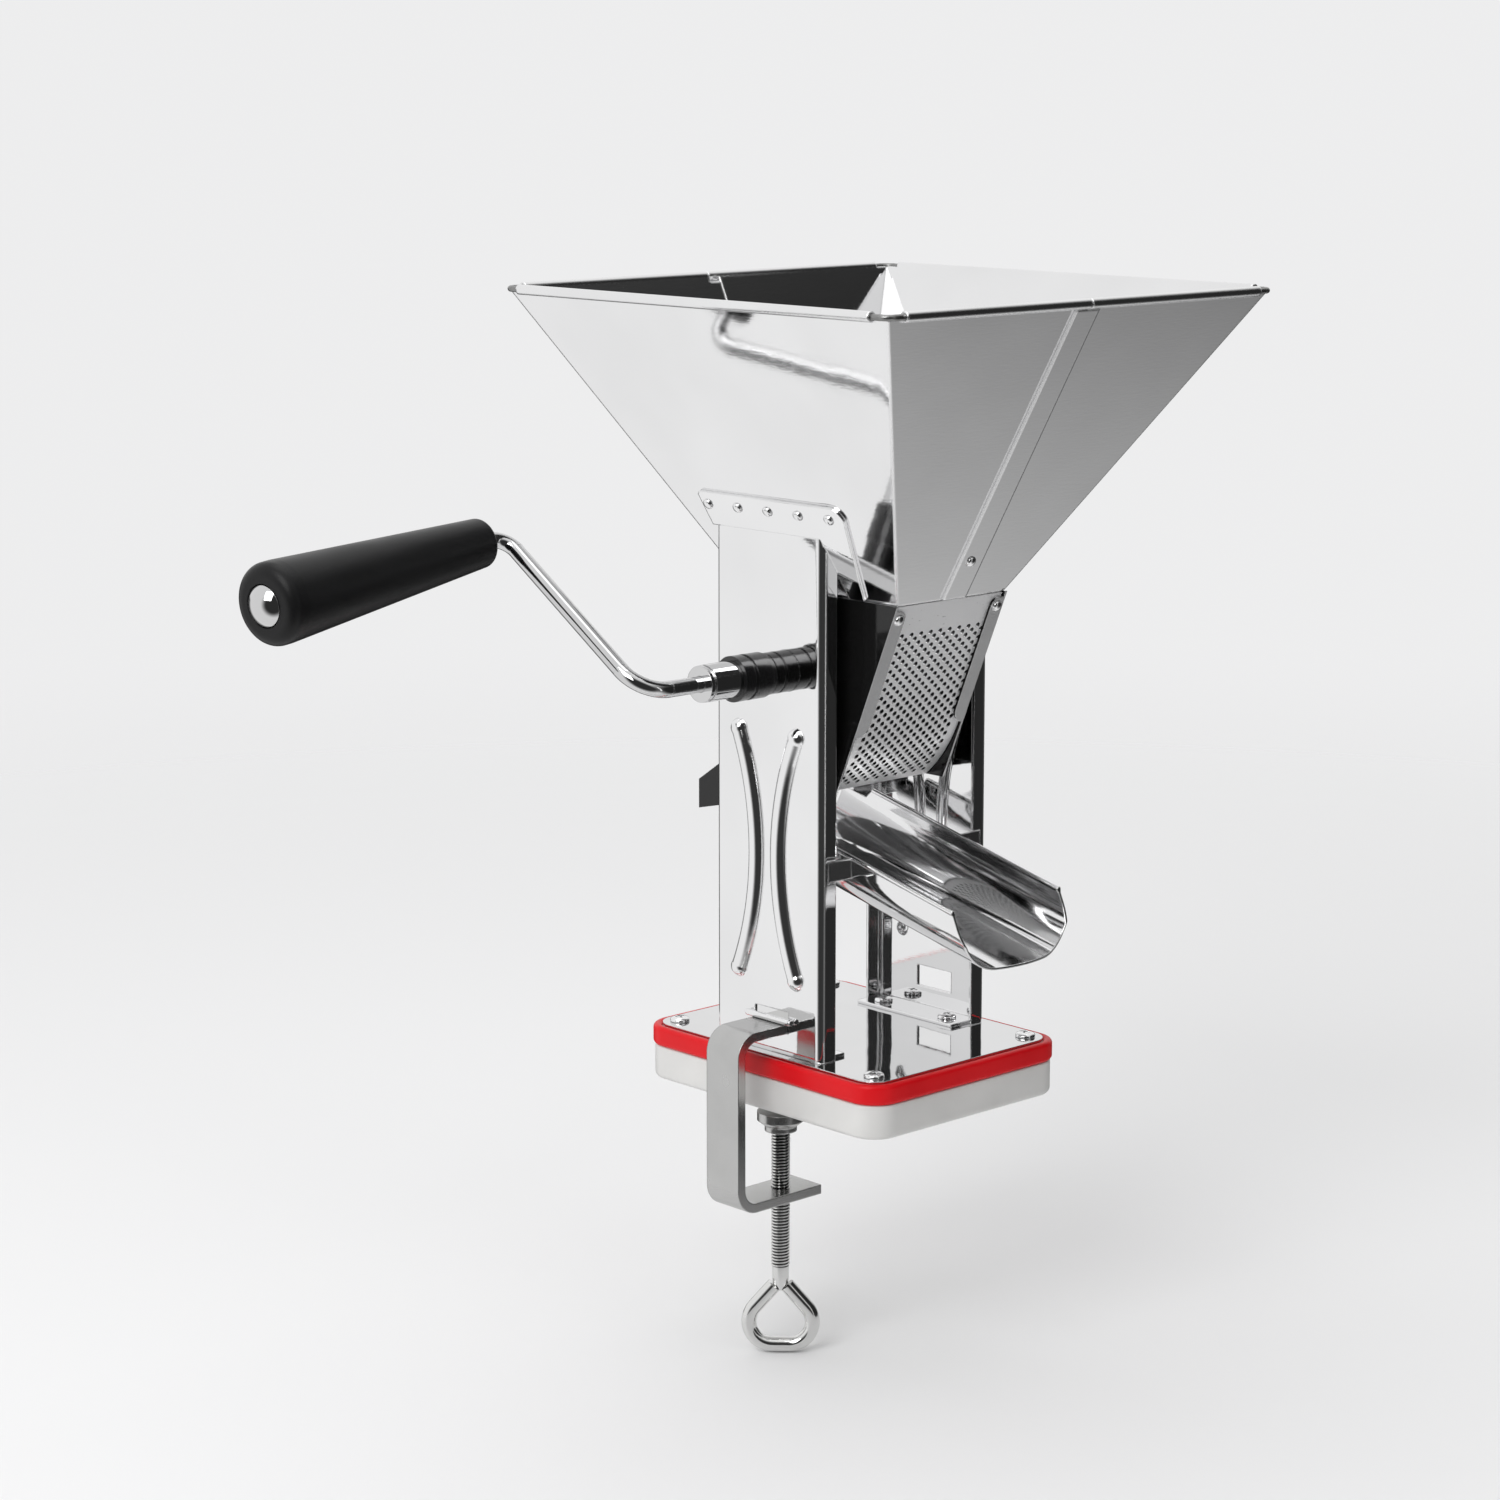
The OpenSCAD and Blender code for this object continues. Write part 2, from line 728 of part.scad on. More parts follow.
// Keeps the round top just inside the strip's straight edge
round_share = 0.99;
strip_high = screen_top - 0.25 * strip_w;
module strip_outline() {
    x1 = cheek_x + seat + sheet_t;
    x0 = x1 - strip_w;
    r = strip_w / 2;
    translate([x0, strip_low]) square([strip_w, strip_high - r - strip_low]);
    translate([x0 + r, strip_low]) square([strip_w - r, strip_high - strip_low]);
    translate([x0 + r, strip_high - r]) circle(r = r * round_share);
    translate([x1, strip_low]) intersection() {
        circle(r = strip_w);
        translate([-strip_w, -strip_w]) square([strip_w, strip_w]);
    }
}

// Rivet places on the strips, along -y of the tilted frame
module housing_at() {
    screen_frame() rotate([90, 0, 0])
        translate([cheek_x + seat + sheet_t - strip_w / 2, strip_high - 0.55 * strip_w,
            screen_ro + seat]) children();
}
module housing_rivets() {
    color("silver") for (m = [0, 1])
        mirror([m, 0, 0]) housing_at() translate([0, 0, sheet_t + seat])
            rotate([0, -90, 0]) rivet(sheet_t * 0.8);
}

module cheek_far() {
    color("darkgray") cheek();
}
module cheek_near() {
    color("darkgray") mirror([1, 0, 0]) cheek();
}

// Rear wall of the housing, bent in toward the rotor
module rear_wall() {
    y1 = neck_rear + sheet_t;
    y2 = -axis_fore + screen_ro + side_gap;
    z2 = axis_z;
    z3 = axis_z - 0.62 * screen_ri;
    t = sheet_t;
    color("silver") translate([-screen_hw, 0, 0]) rotate([90, 0, 90])
        linear_extrude(height = 2 * screen_hw)
            polygon([[y1 - t, neck_z - seat], [y1, neck_z - seat], [y2 + t, z2], [y2 + t, z3],
                [y2, z3], [y2, z2]]);
}

// Perforated screen: a flat part past the rotor that curves in below it
screen_hw = cheek_x - side_gap;
// Centre of the curved part in the tilted frame
curve_y = curve_r - screen_ri;
module screen_profile() {
    translate([-screen_ro, -screen_drop]) square([sheet_t, screen_top + screen_drop - seat]);
    translate([curve_y, -screen_drop]) intersection() {
        ring2d(curve_r + sheet_t, curve_r);
        polygon([[0, 0], [-2 * curve_r, 0],
            [2 * curve_r * cos(180 + curve_sweep), 2 * curve_r * sin(180 + curve_sweep)]]);
    }
}
// Point of the base frame at the lower end of the curve, for a radius
function curve_end(r) =
    tip(curve_y + r * cos(180 + curve_sweep), -screen_drop + r * sin(180 + curve_sweep));

// Rows are staggered, and closer to each other than the holes of one row
row_step = hole_pitch * 0.38;
hole_span = 2 * (screen_hw - 2 * hole_d);
hole_cols = floor(hole_span / hole_pitch);
flat_rows = floor((screen_top + screen_drop - screen_margin) / row_step);
arc_step = row_step / curve_r * 180 / PI;
arc_rows = floor(curve_sweep / arc_step - 1);
// One row of holes, as circles
module hole_row(odd) {
    n = odd ? hole_cols : hole_cols + 1;
    for (i = [0:n - 1])
        translate([(i - (n - 1) / 2) * hole_pitch, 0]) circle(d = hole_d, $fn = 16);
}
// Holes through a sheet whose inner face is r in front of the origin
module punch(r) {
    rotate([90, 0, 0]) translate([0, 0, r - cut]) linear_extrude(height = sheet_t + 2 * cut)
        children();
}
module screen() {
    color("silver") screen_frame() difference() {
        translate([-screen_hw, 0, 0]) rotate([90, 0, 90])
            linear_extrude(height = 2 * screen_hw) screen_profile();
        punch(screen_ri) for (j = [0:flat_rows - 1])
            translate([0, (j + 0.5) * row_step - screen_drop]) hole_row(j % 2 == 0);
        translate([0, curve_y, -screen_drop]) for (j = [1:arc_rows])
            rotate([(j - 0.5) * arc_step, 0, 0]) punch(curve_r) hole_row(j % 2 == 0);
    }
}

// Skins chute: a sloping channel from the end of the screen out behind the rotor.
// Its underside runs from the start to the tip, as [y, z].
skins_start = [curve_end(curve_r)[0] + side_gap, curve_end(curve_r + sheet_t)[1]];
skins_tip = [skins_reach, skins_z];
function skins_under(y) = skins_z
    + (skins_reach - y) * (skins_start[1] - skins_z) / (skins_reach - skins_start[0]);
module skins_chute() {
    color("silver") {
        translate([-screen_hw, 0, 0]) rotate([90, 0, 90]) linear_extrude(height = 2 * screen_hw)
            polygon([skins_start, skins_tip, skins_tip + [0, sheet_t],
                skins_start + [0, sheet_t]]);
        // Side walls, as high as the cheek plates where they leave the housing
        for (s = [-1, 1]) translate([s > 0 ? screen_hw - sheet_t : -screen_hw, 0, 0])
            rotate([90, 0, 90]) linear_extrude(height = sheet_t)
                polygon([skins_start, skins_tip, skins_tip + [0, skins_wall],
                    [neck_rear, cheek_rear - side_gap], skins_start + [0, skins_wall / 2]]);
    }
}

// ---- rotor and crank ----

module wing2d() {
    // A half ring from the core to the tip circle
    c = (rotor_r + core_d / 2) / 2;
    r = (rotor_r - core_d / 2) / 2 + wing_t;
    intersection() {
        translate([c, 0]) ring2d(r, r - wing_t);
        translate([0, 0]) square([2 * rotor_r, 2 * rotor_r]);
        circle(r = rotor_r);
    }
}
module rotor() {
    color("white") difference() {
        along_axis(-rotor_hl, rotor_hl) {
            circle(d = core_d);
            for (k = [0:wing_count - 1]) rotate(k * 360 / wing_count + screen_tilt) wing2d();
        }
        axis_rod(-rotor_hl - cut, rotor_hl + cut, shaft_d + 2 * seat);
    }
}

module shaft() {
    color("silver") axis_rod(-shaft_near, shaft_far, shaft_d);
}

// Bush in the cheek and the panel on the +X side
module bush() {
    x0 = cheek_x - side_gap;
    difference() {
        union() {
            axis_rod(x0, panel_x, bush_d);
            axis_rod(cheek_x + 2 * seat + sheet_t, cheek_x + 2 * seat + sheet_t + bush_flange_t,
                bush_flange_d);
        }
        axis_rod(x0 - cut, panel_x + cut, shaft_d + 2 * run_fit);
    }
}
module bush_far() {
    color("dimgray") bush();
}
module bush_near() {
    color("dimgray") mirror([1, 0, 0]) bush();
}

// Stepped tube about the axis on the crank side: list of [x, diameter] steps
module tube(steps, bore) {
    n = len(steps);
    mirror([1, 0, 0]) difference() {
        union() for (i = [0:n - 2]) axis_rod(steps[i][0], steps[i + 1][0], steps[i][1]);
        axis_rod(steps[0][0] - cut, steps[n - 1][0] + cut, bore);
    }
}
module hub_collar() {
    x0 = panel_x + seat;
    color([0.22, 0.22, 0.24]) tube([[x0, collar_d], [x0 + collar_len * 0.55, collar_d * 0.95],
        [x0 + collar_len * 0.65, collar_d], [x0 + collar_len, collar_d]], shaft_d + 2 * run_fit);
}
module coupling_ring() {
    l = ring_len;
    color([0.08, 0.08, 0.09]) tube([[ring_x, ring_d * 0.94], [ring_x + l * 0.12, ring_d],
        [ring_x + l * 0.6, ring_d * 0.95], [ring_x + l * 0.7, ring_d], [ring_x + l, ring_d]],
        shaft_d + 2 * seat);
}
module crank_sleeve() {
    l = sleeve_len;
    color("silver") tube([[sleeve_x + seat, sleeve_d], [sleeve_x + l * 0.84, sleeve_d * 0.9],
        [sleeve_x + l * 0.9, sleeve_d * 0.98], [sleeve_x + l, sleeve_d]], rod_d + 2 * seat);
}

// Frame of the crank plane: local x runs along -X, local y along the arm
module crank_frame() {
    translate([0, -axis_fore, axis_z]) rotate([arm_angle, 0, 0]) mirror([1, 0, 0]) children();
}
pin_dir = [cos(pin_lean), -sin(pin_lean)];
pin_root = [arm_x, arm_len];
pin_len = grip_start + grip_len - cap_sink;
module crank_rod() {
    p = [[sleeve_x + 2 * seat, 0], [arm_x, 0], pin_root, pin_root + pin_dir * pin_len];
    color("silver") crank_frame() bent_rod(p, [0, hub_bend, grip_bend, 0], rod_d);
}

// Frame of the grip: local z runs along the pin from the arm
module pin_frame() {
    crank_frame() translate([pin_root[0], pin_root[1], 0]) rotate([0, 0, -pin_lean])
        rotate([0, 90, 0]) children();
}
// Outline of the grip as [radius, height]
module grip_profile() {
    r1 = grip_d1 / 2;
    r2 = grip_d2 / 2;
    e1 = r1 * 0.16;
    e2 = r2 * 0.3;
    b = rod_d / 2 + run_fit;
    l = grip_len;
    difference() {
        union() {
            polygon([[b, 0], [r1 - e1, 0], [r1, e1], [r2, l * 0.93], [r2, l - e2], [r2 - e2, l],
                [b, l]]);
            translate([r1 - e1, e1]) circle(r = e1);
            translate([r2 - e2, l - e2]) circle(r = e2);
        }
        translate([-r2, -r2]) square([r2 + b, l + 2 * r2]);
        // Recess for the cap
        translate([0, l - cap_sink]) square([cap_d / 2 + side_gap, cap_sink + cut]);
    }
}
module grip() {
    color([0.07, 0.07, 0.075]) pin_frame() translate([0, 0, grip_start])
        rotate_extrude($fn = 72) grip_profile();
}
module pin_cap() {
    z0 = grip_start + grip_len - cap_sink;
    rs = cap_d * 0.62;
    h = rs - sqrt(rs * rs - cap_d * cap_d / 4);
    color("silver") pin_frame() {
        translate([0, 0, z0 + side_gap]) cylinder(d = cap_d, h = cap_sink - side_gap);
        translate([0, 0, z0 + cap_sink]) intersection() {
            translate([0, 0, h - rs]) sphere(r = rs);
            cylinder(d = cap_d, h = h);
        }
    }
}

// ---- juice chute ----

// Section of the trough: x across, y up from its floor
module trough2d(grow) {
    hw = chute_hw + grow;
    r = chute_r + grow;
    translate([-hw, r - grow]) square([2 * hw, chute_d - r + grow]);
    translate([-hw + r, -grow]) square([2 * (hw - r), 2 * r]);
    for (s = [-1, 1]) translate([s * (hw - r), r - grow]) circle(r = r);
}
module chute_section() {
    difference() {
        intersection() {
            trough2d(sheet_t);
            translate([-far_away, -far_away]) square([2 * far_away, far_away + chute_d]);
        }
        trough2d(0);
        translate([-chute_hw, chute_d - sheet_t]) square([chute_w, chute_d]);
    }
    // Rolled top edges
    for (s = [-1, 1])
        translate([s * (chute_hw + sheet_t / 2), chute_d]) circle(d = hem_d);
}
// Height of the chute's top edge at a distance behind the base centre
function chute_top(y) = chute_z + (y + panel_w / 2) * tan(chute_slope);
// Drop and length of the low rear end that passes under the skins chute
rear_low = chute_top(chute_back) - skins_under(chute_back) + 3 * side_gap;
rear_low_len = chute_d * 0.9;
// Frame of the chute: local z runs down the trough, local y up from it; the top
// corners of the outlet lie at z = 0
module chute_frame() {
    translate([0, -chute_reach, chute_top(-chute_reach)]) rotate([90 + chute_slope, 0, 0])
        translate([0, -chute_d, 0]) children();
}
module juice_chute() {
    back = (chute_reach + chute_back) / cos(chute_slope);
    hw = chute_hw + sheet_t;
    color("lightgray") {
        chute_frame() intersection() {
            translate([0, 0, -back]) linear_extrude(height = back + chute_lip) chute_section();
            // Slanted end, longest at the floor
            rotate([0, -90, 0]) translate([0, 0, -far_away]) linear_extrude(height = 2 * far_away)
                polygon([[-back - cut, -cut], [chute_lip + cut, -cut],
                    [chute_lip * 0.72, chute_d * 0.34], [0, chute_d], [0, chute_d + hem_d],
                    [rear_low_len - back, chute_d + hem_d],
                    [rear_low_len - back - rear_low, chute_d - rear_low],
                    [-back - cut, chute_d - rear_low]]);
            // Outlet rounded in plan
            translate([0, far_away / 2, chute_lip - 2.4 * hw]) rotate([90, 0, 0])
                linear_extrude(height = far_away) union() {
                    circle(r = 2.4 * hw);
                    translate([-2 * hw, -2 * back]) square([4 * hw, 2 * back]);
                }
        }
        // Ears that sit in the notches of the panels
        for (s = [0, 1], e = [0, 1]) mirror([s, 0, 0])
            translate([chute_hw + sheet_t / 4,
                e == 0 ? -panel_w / 2 + seat : panel_w / 2 - panel_t + seat,
                e == 0 ? ear_z : ear_rear_z])
                cube([panel_x - return_w / 2 - ear_fit - chute_hw - sheet_t / 4,
                    panel_t - 2 * seat, ear_h]);
    }
}

// ---- base ----

module slab_round(x, y, r, z0, z1) {
    translate([0, 0, z0]) linear_extrude(height = z1 - z0) round_rect(x, y, r);
}
module at_corners() {
    for (i = [-1, 1], j = [-1, 1])
        translate([i * (base_x / 2 - screw_in), j * (base_y / 2 - screw_in), plate_z + plate_t])
            children();
}
module base_box() {
    color("whitesmoke") difference() {
        union() {
            slab_round(base_x - 2 * box_in, base_y - 2 * box_in, base_r - box_in, 0, box_h);
            slab_round(base_x - 2 * upper_in, base_y - 2 * upper_in, base_r - upper_in,
                box_h - cut, plate_z - seat);
        }
        at_corners() translate([0, 0, -plate_t - 2 * foot_screw_d])
            cylinder(d = foot_screw_d + 2 * seat, h = 3 * foot_screw_d);
        for (m = [0, 1]) mirror([m, 0, 0]) at_feet()
            translate([0, 0, -plate_t - 1.5 * foot_screw_d])
                cylinder(d = foot_screw_d + 2 * seat, h = 2 * foot_screw_d);
    }
}
module base_gasket() {
    color("crimson") difference() {
        slab_round(base_x, base_y, base_r, box_h + seat, box_h + gasket_h);
        slab_round(base_x - 2 * gasket_w, base_y - 2 * gasket_w, base_r - gasket_w, box_h - cut,
            box_h + gasket_h + cut);
    }
}
module base_plate() {
    color("lightgray") difference() {
        slab_round(base_x - 2 * upper_in, base_y - 2 * upper_in, base_r - upper_in, plate_z,
            plate_z + plate_t - seat);
        at_corners() translate([0, 0, -2 * plate_t])
            cylinder(d = foot_screw_d + 2 * seat, h = 3 * plate_t);
        for (m = [0, 1]) mirror([m, 0, 0]) at_feet() translate([0, 0, -2 * plate_t])
            cylinder(d = foot_screw_d + 2 * seat, h = 3 * plate_t);
    }
}
module plate_screws() {
    color("silver") at_corners() {
        intersection() {
            cylinder(d = screw_head_d, h = screw_head_h);
            translate([0, 0, screw_head_h - screw_head_d * 0.8]) sphere(r = screw_head_d * 0.8);
        }
        translate([0, 0, -plate_t - foot_screw_d])
            cylinder(d = foot_screw_d, h = plate_t + foot_screw_d + seat);
    }
}

// ---- clamp ----

// Bar section path in (x, z): upper arm, back and lower arm
module bar_profile() {
    w = bar_x;
    r = bar_bend;
    t = bar_t;
    zt = arm_z + t;
    zb = lower_z - t;
    difference() {
        translate([-w + (w + 0) / 2, (zt + zb) / 2]) round_rect(w, zt - zb, r);
        translate([-w + t + (w + 0) / 2, (zt + zb) / 2]) round_rect(w, zt - zb - 2 * t, r - t);
        // Both arms end short of the middle
        translate([-arm_end, 0]) square([w, 2 * zt]);
        translate([-tail_end, 2 * zb]) square([w, -2 * zb]);
    }
}
module clamp_bar() {
    color("silver") difference() {
        translate([0, clamp_y + bar_w / 2, 0]) rotate([90, 0, 0])
            linear_extrude(height = bar_w) bar_profile();
        translate([-screw_x, clamp_y, lower_z - bar_t - cut])
            cylinder(d = screw_d + 2 * run_fit, h = bar_t + 2 * cut);
    }
}
// Cross pin that lies on the arm against the panel
stop_d = 2.2;
module clamp_stop() {
    color("silver") translate([-panel_x - stop_d / 2 - seat, clamp_y, arm_z + bar_t + stop_d / 2]) {
        rotate([90, 0, 0]) cylinder(d = stop_d, h = 1.3 * bar_w, center = true);
        rotate([90, 0, 0]) cylinder(d = stop_d * 0.8, h = 1.4 * bar_w, center = true);
    }
}

module clamp_pad() {
    color("darkgray") translate([-screw_x, clamp_y, 0]) difference() {
        rotate_extrude() polygon([[0, pad_z], [screw_d * 0.85, pad_z],
            [screw_d * 0.85, pad_z + pad_h * 0.25], [pad_d / 2, pad_z + pad_h * 0.55],
            [pad_d / 2, pad_top], [0, pad_top]]);
        translate([0, 0, pad_z - cut])
            cylinder(d = screw_d + 2 * run_fit, h = screw_top - pad_z + cut + side_gap);
    }
}
// Screw with a plain neck and an open triangular eye, bent from round rod
eye_leg = 41;
module clamp_screw() {
    b = eye_d * 0.42;
    h = eye_h - eye_d / 2;
    x = b + h * tan(eye_leg);
    r = (x - eye_w / 2 + eye_d / 2) / (tan((90 + eye_leg) / 2) - 1);
    color("silver") translate([-screw_x, clamp_y, 0]) {
        translate([0, 0, screw_low + screw_d]) cylinder(d = screw_d, h = screw_top - screw_low - screw_d);
        translate([0, 0, screw_low - eye_d * 0.3])
            cylinder(d = screw_d * 0.86, h = screw_d + eye_d * 0.3 + cut);
        translate([0, 0, screw_low]) rotate([0, 0, -45]) rotate([90, 0, 0])
            bent_rod([[b, 0], [x, -h], [-x, -h], [-b, 0]], [0, r, r, 0], eye_d);
    }
}

hopper_left();
hopper_right();
rim_wire();
seam_rivets();
panel_near();
panel_far();
flange_rivets();
cheek_near();
cheek_far();
rear_wall();
housing_rivets();
screen();
skins_chute();
rotor();
shaft();
bush_near();
bush_far();
hub_collar();
coupling_ring();
crank_sleeve();
crank_rod();
grip();
pin_cap();
juice_chute();
base_box();
base_gasket();
base_plate();
plate_screws();
foot_screws();
clamp_bar();
clamp_stop();
clamp_pad();
clamp_screw();
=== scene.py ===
"""Looks for the hand-cranked tomato strainer, laid out as an add-on and run as a script."""

import math

import bmesh
import bpy
from bpy.props import FloatProperty, FloatVectorProperty, IntProperty, PointerProperty
from bpy.types import Operator, Panel, PropertyGroup
from mathutils import Matrix, Vector


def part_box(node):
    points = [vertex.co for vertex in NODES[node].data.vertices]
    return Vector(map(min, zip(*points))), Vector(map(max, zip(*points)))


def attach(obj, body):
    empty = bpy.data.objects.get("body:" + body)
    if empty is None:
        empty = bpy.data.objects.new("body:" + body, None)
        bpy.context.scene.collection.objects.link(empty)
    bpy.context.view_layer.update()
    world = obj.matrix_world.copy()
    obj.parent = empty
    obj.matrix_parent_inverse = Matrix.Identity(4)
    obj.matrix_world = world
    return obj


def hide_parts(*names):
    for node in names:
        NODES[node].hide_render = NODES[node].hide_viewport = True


bl_info = {
    "name": "Tomato Strainer Looks",
    "version": (1, 0, 0),
    "blender": (4, 5, 0),
    "location": "View3D > Sidebar > Strainer",
    "description": "Finishes, fasteners and studio for a hand-cranked tomato strainer",
    "category": "Object",
}

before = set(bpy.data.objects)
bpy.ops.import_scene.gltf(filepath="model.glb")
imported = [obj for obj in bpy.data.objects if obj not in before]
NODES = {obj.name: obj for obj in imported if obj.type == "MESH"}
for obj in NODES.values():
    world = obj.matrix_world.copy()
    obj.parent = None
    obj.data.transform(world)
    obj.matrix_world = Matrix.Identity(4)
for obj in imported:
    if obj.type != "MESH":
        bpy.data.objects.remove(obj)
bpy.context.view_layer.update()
MM = 0.001
UP = Vector((0.0, 0.0, 1.0))

# Clamp screw and the seam of the base box, in metres, as in the part's source
SCREW_AXIS = Vector((-0.033, -0.002, 0.0))
SCREW_RADIUS = 3.0 * MM
EYE_HEIGHT = 22 * MM
EYE_WIDTH = 25 * MM
EYE_ROD = 4.8 * MM
EYE_LEG_ANGLE = math.radians(41)
EYE_TURN = math.radians(-45)
BASE_SEAM = 11.0 * MM

# Plain neck between the eye and the thread
NECK_HEIGHT = 6.5 * MM

# Width and rise of the screw heads
PLATE_SCREW = (6.4 * MM, 1.7 * MM)
FOOT_SCREW = (6.0 * MM, 1.6 * MM)

# Mesh work: how near points are merged, and the angle from which an edge stays sharp
MERGE_OWN = 1e-7
MERGE_CAD = 1e-6
SHARP_ANGLE = math.radians(35)

# Stage, in metres, and as cosines from the middle of each dark card
CENTRE = Vector((0.0, -0.0145, 0.100))
FLOOR_REACH = 6.0
SEEN_FADE = (0.3, 1.4)
MIRRORED_FADE = (0.05, 0.26)
SIDE_CARD = (0.44, 0.88)
FRONT_CARD = (0.5, 0.85)
BACK_CARD = (0.45, 0.8)
BACK_CARD_TOP = (-0.03, 0.07)

# Camera: how far its aim lies from the centre, and its lens as a share of the picture
AIM_RIGHT = -42.4 * MM
AIM_UP = 58.2 * MM
SENSOR_WIDTH = 36.0
FOCAL_SHARE = 3684.8 / 1500.0
LENS_SHIFT = -0.1

# Lights: name, place, width and height, and the setting with its power
LIGHTS = (
    ("key_softbox", (-1.6, -0.5, 1.3), (1.1, 1.3), "key_power"),
    ("strip_light", (0.1, -1.6, 0.3), (0.12, 1.2), "strip_power"),
    ("top_softbox", (0.0, 0.2, 1.5), (1.0, 1.0), "top_power"),
)


# Settings


class StrainerSteelSettings(PropertyGroup):
    """Polished and plated metal."""

    mirror_color: FloatVectorProperty(
        name="Mirror steel",
        description="Reflection colour of the polished panels and chutes",
        subtype="COLOR", size=3, min=0.0, max=1.0, default=(0.84, 0.84, 0.845))
    mirror_rough: FloatProperty(
        name="Mirror roughness",
        description="Roughness of the polished panels and chutes",
        min=0.0, max=1.0, default=0.045)
    hopper_color: FloatVectorProperty(
        name="Hopper steel",
        description="Reflection colour of the hopper sheet",
        subtype="COLOR", size=3, min=0.0, max=1.0, default=(0.82, 0.82, 0.825))
    hopper_rough: FloatProperty(
        name="Hopper roughness",
        description="Roughness of the hopper sheet",
        min=0.0, max=1.0, default=0.055)
    zinc_color: FloatVectorProperty(
        name="Zinc plating",
        description="Colour of the clamp's satin plating",
        subtype="COLOR", size=3, min=0.0, max=1.0, default=(0.52, 0.52, 0.515))
    zinc_rough: FloatProperty(
        name="Zinc roughness",
        description="Roughness of the clamp's satin plating",
        min=0.0, max=1.0, default=0.24)
    wear_size: FloatProperty(
        name="Polish grain",
        description="Size of the faint waves left by polishing",
        subtype="DISTANCE", unit="LENGTH", min=0.001, max=0.2, default=0.045)


class StrainerPlasticSettings(PropertyGroup):
    """Plastic and rubber parts."""

    grip_color: FloatVectorProperty(
        name="Grip", description="Colour of the crank grip",
        subtype="COLOR", size=3, min=0.0, max=1.0, default=(0.007, 0.007, 0.0075))
    base_color: FloatVectorProperty(
        name="Base box", description="Colour of the plastic base",
        subtype="COLOR", size=3, min=0.0, max=1.0, default=(0.71, 0.705, 0.69))
    gasket_color: FloatVectorProperty(
        name="Gasket", description="Colour of the red gasket",
        subtype="COLOR", size=3, min=0.0, max=1.0, default=(0.72, 0.004, 0.009))
    rotor_color: FloatVectorProperty(
        name="Rotor", description="Colour of the rotor inside the screen",
        subtype="COLOR", size=3, min=0.0, max=1.0, default=(0.055, 0.055, 0.06))


class StrainerFastenerSettings(PropertyGroup):
    """Rivet heads and the thread of the clamp screw."""

    rivet_width: FloatProperty(
        name="Rivet width", description="Diameter of a rivet head",
        subtype="DISTANCE", unit="LENGTH", min=0.002, max=0.008, default=0.0036)
    rivet_rise: FloatProperty(
        name="Rivet rise", description="Height of a rivet head",
        subtype="DISTANCE", unit="LENGTH", min=0.0004, max=0.003, default=0.0011)
    thread_pitch: FloatProperty(
        name="Thread pitch", description="Distance between the turns of the clamp screw",
        subtype="DISTANCE", unit="LENGTH", min=0.0005, max=0.003, default=0.001)
    thread_depth: FloatProperty(
        name="Thread depth", description="Depth of the thread of the clamp screw",
        subtype="DISTANCE", unit="LENGTH", min=0.0002, max=0.0015, default=0.0005)


class StrainerStageSettings(PropertyGroup):
    """Backdrop, floor, lights, dark cards and camera."""

    backdrop_color: FloatVectorProperty(
        name="Backdrop", description="Colour of the background",
        subtype="COLOR", size=3, min=0.0, max=1.0, default=(0.85, 0.85, 0.855))
    floor_color: FloatVectorProperty(
        name="Floor", description="Colour of the floor under the object",
        subtype="COLOR", size=3, min=0.0, max=1.0, default=(0.84, 0.84, 0.845))
    floor_height: FloatProperty(
        name="Floor height", description="Height of the floor under the screw eye",
        subtype="DISTANCE", unit="LENGTH", min=-0.3, max=0.1, default=-0.0816)
    key_power: FloatProperty(
        name="Key light", description="Power of the large soft light",
        subtype="POWER", unit="POWER", min=0.0, max=200.0, default=18.0)
    top_power: FloatProperty(
        name="Top light", description="Power of the soft light overhead",
        subtype="POWER", unit="POWER", min=0.0, max=200.0, default=3.0)
    strip_power: FloatProperty(
        name="Strip light", description="Power of the narrow light between the dark cards",
        subtype="POWER", unit="POWER", min=0.0, max=20.0, default=0.5)
    room_light: FloatProperty(
        name="Room light", description="Strength of the room on its bright side",
        min=0.0, max=4.0, default=0.95)
    dark_side: FloatProperty(
        name="Dark side", description="How far the room darkens to the right of the camera",
        min=0.0, max=1.0, default=0.975)
    dark_front: FloatProperty(
        name="Dark front", description="How far the room darkens behind the camera",
        min=0.0, max=1.0, default=0.96)
    dark_back: FloatProperty(
        name="Dark back", description="How far the room darkens low behind the object",
        min=0.0, max=1.0, default=0.97)
    azimuth: FloatProperty(
        name="Camera azimuth", description="Direction of the camera round the object",
        subtype="ANGLE", unit="ROTATION", default=math.radians(-42.96))
    elevation: FloatProperty(
        name="Camera elevation", description="Height angle of the camera",
        subtype="ANGLE", unit="ROTATION", default=math.radians(8.72))
    distance: FloatProperty(
        name="Camera distance", description="Distance from the camera to its aim",
        subtype="DISTANCE", unit="LENGTH", min=0.2, max=5.0, default=1.161)
    seed: IntProperty(name="Seed", description="Seed of the turn of each screw head", default=7)


SETTINGS = (
    ("strainer_steel", StrainerSteelSettings),
    ("strainer_plastic", StrainerPlasticSettings),
    ("strainer_fasteners", StrainerFastenerSettings),
    ("strainer_stage", StrainerStageSettings),
)


# Shader helpers


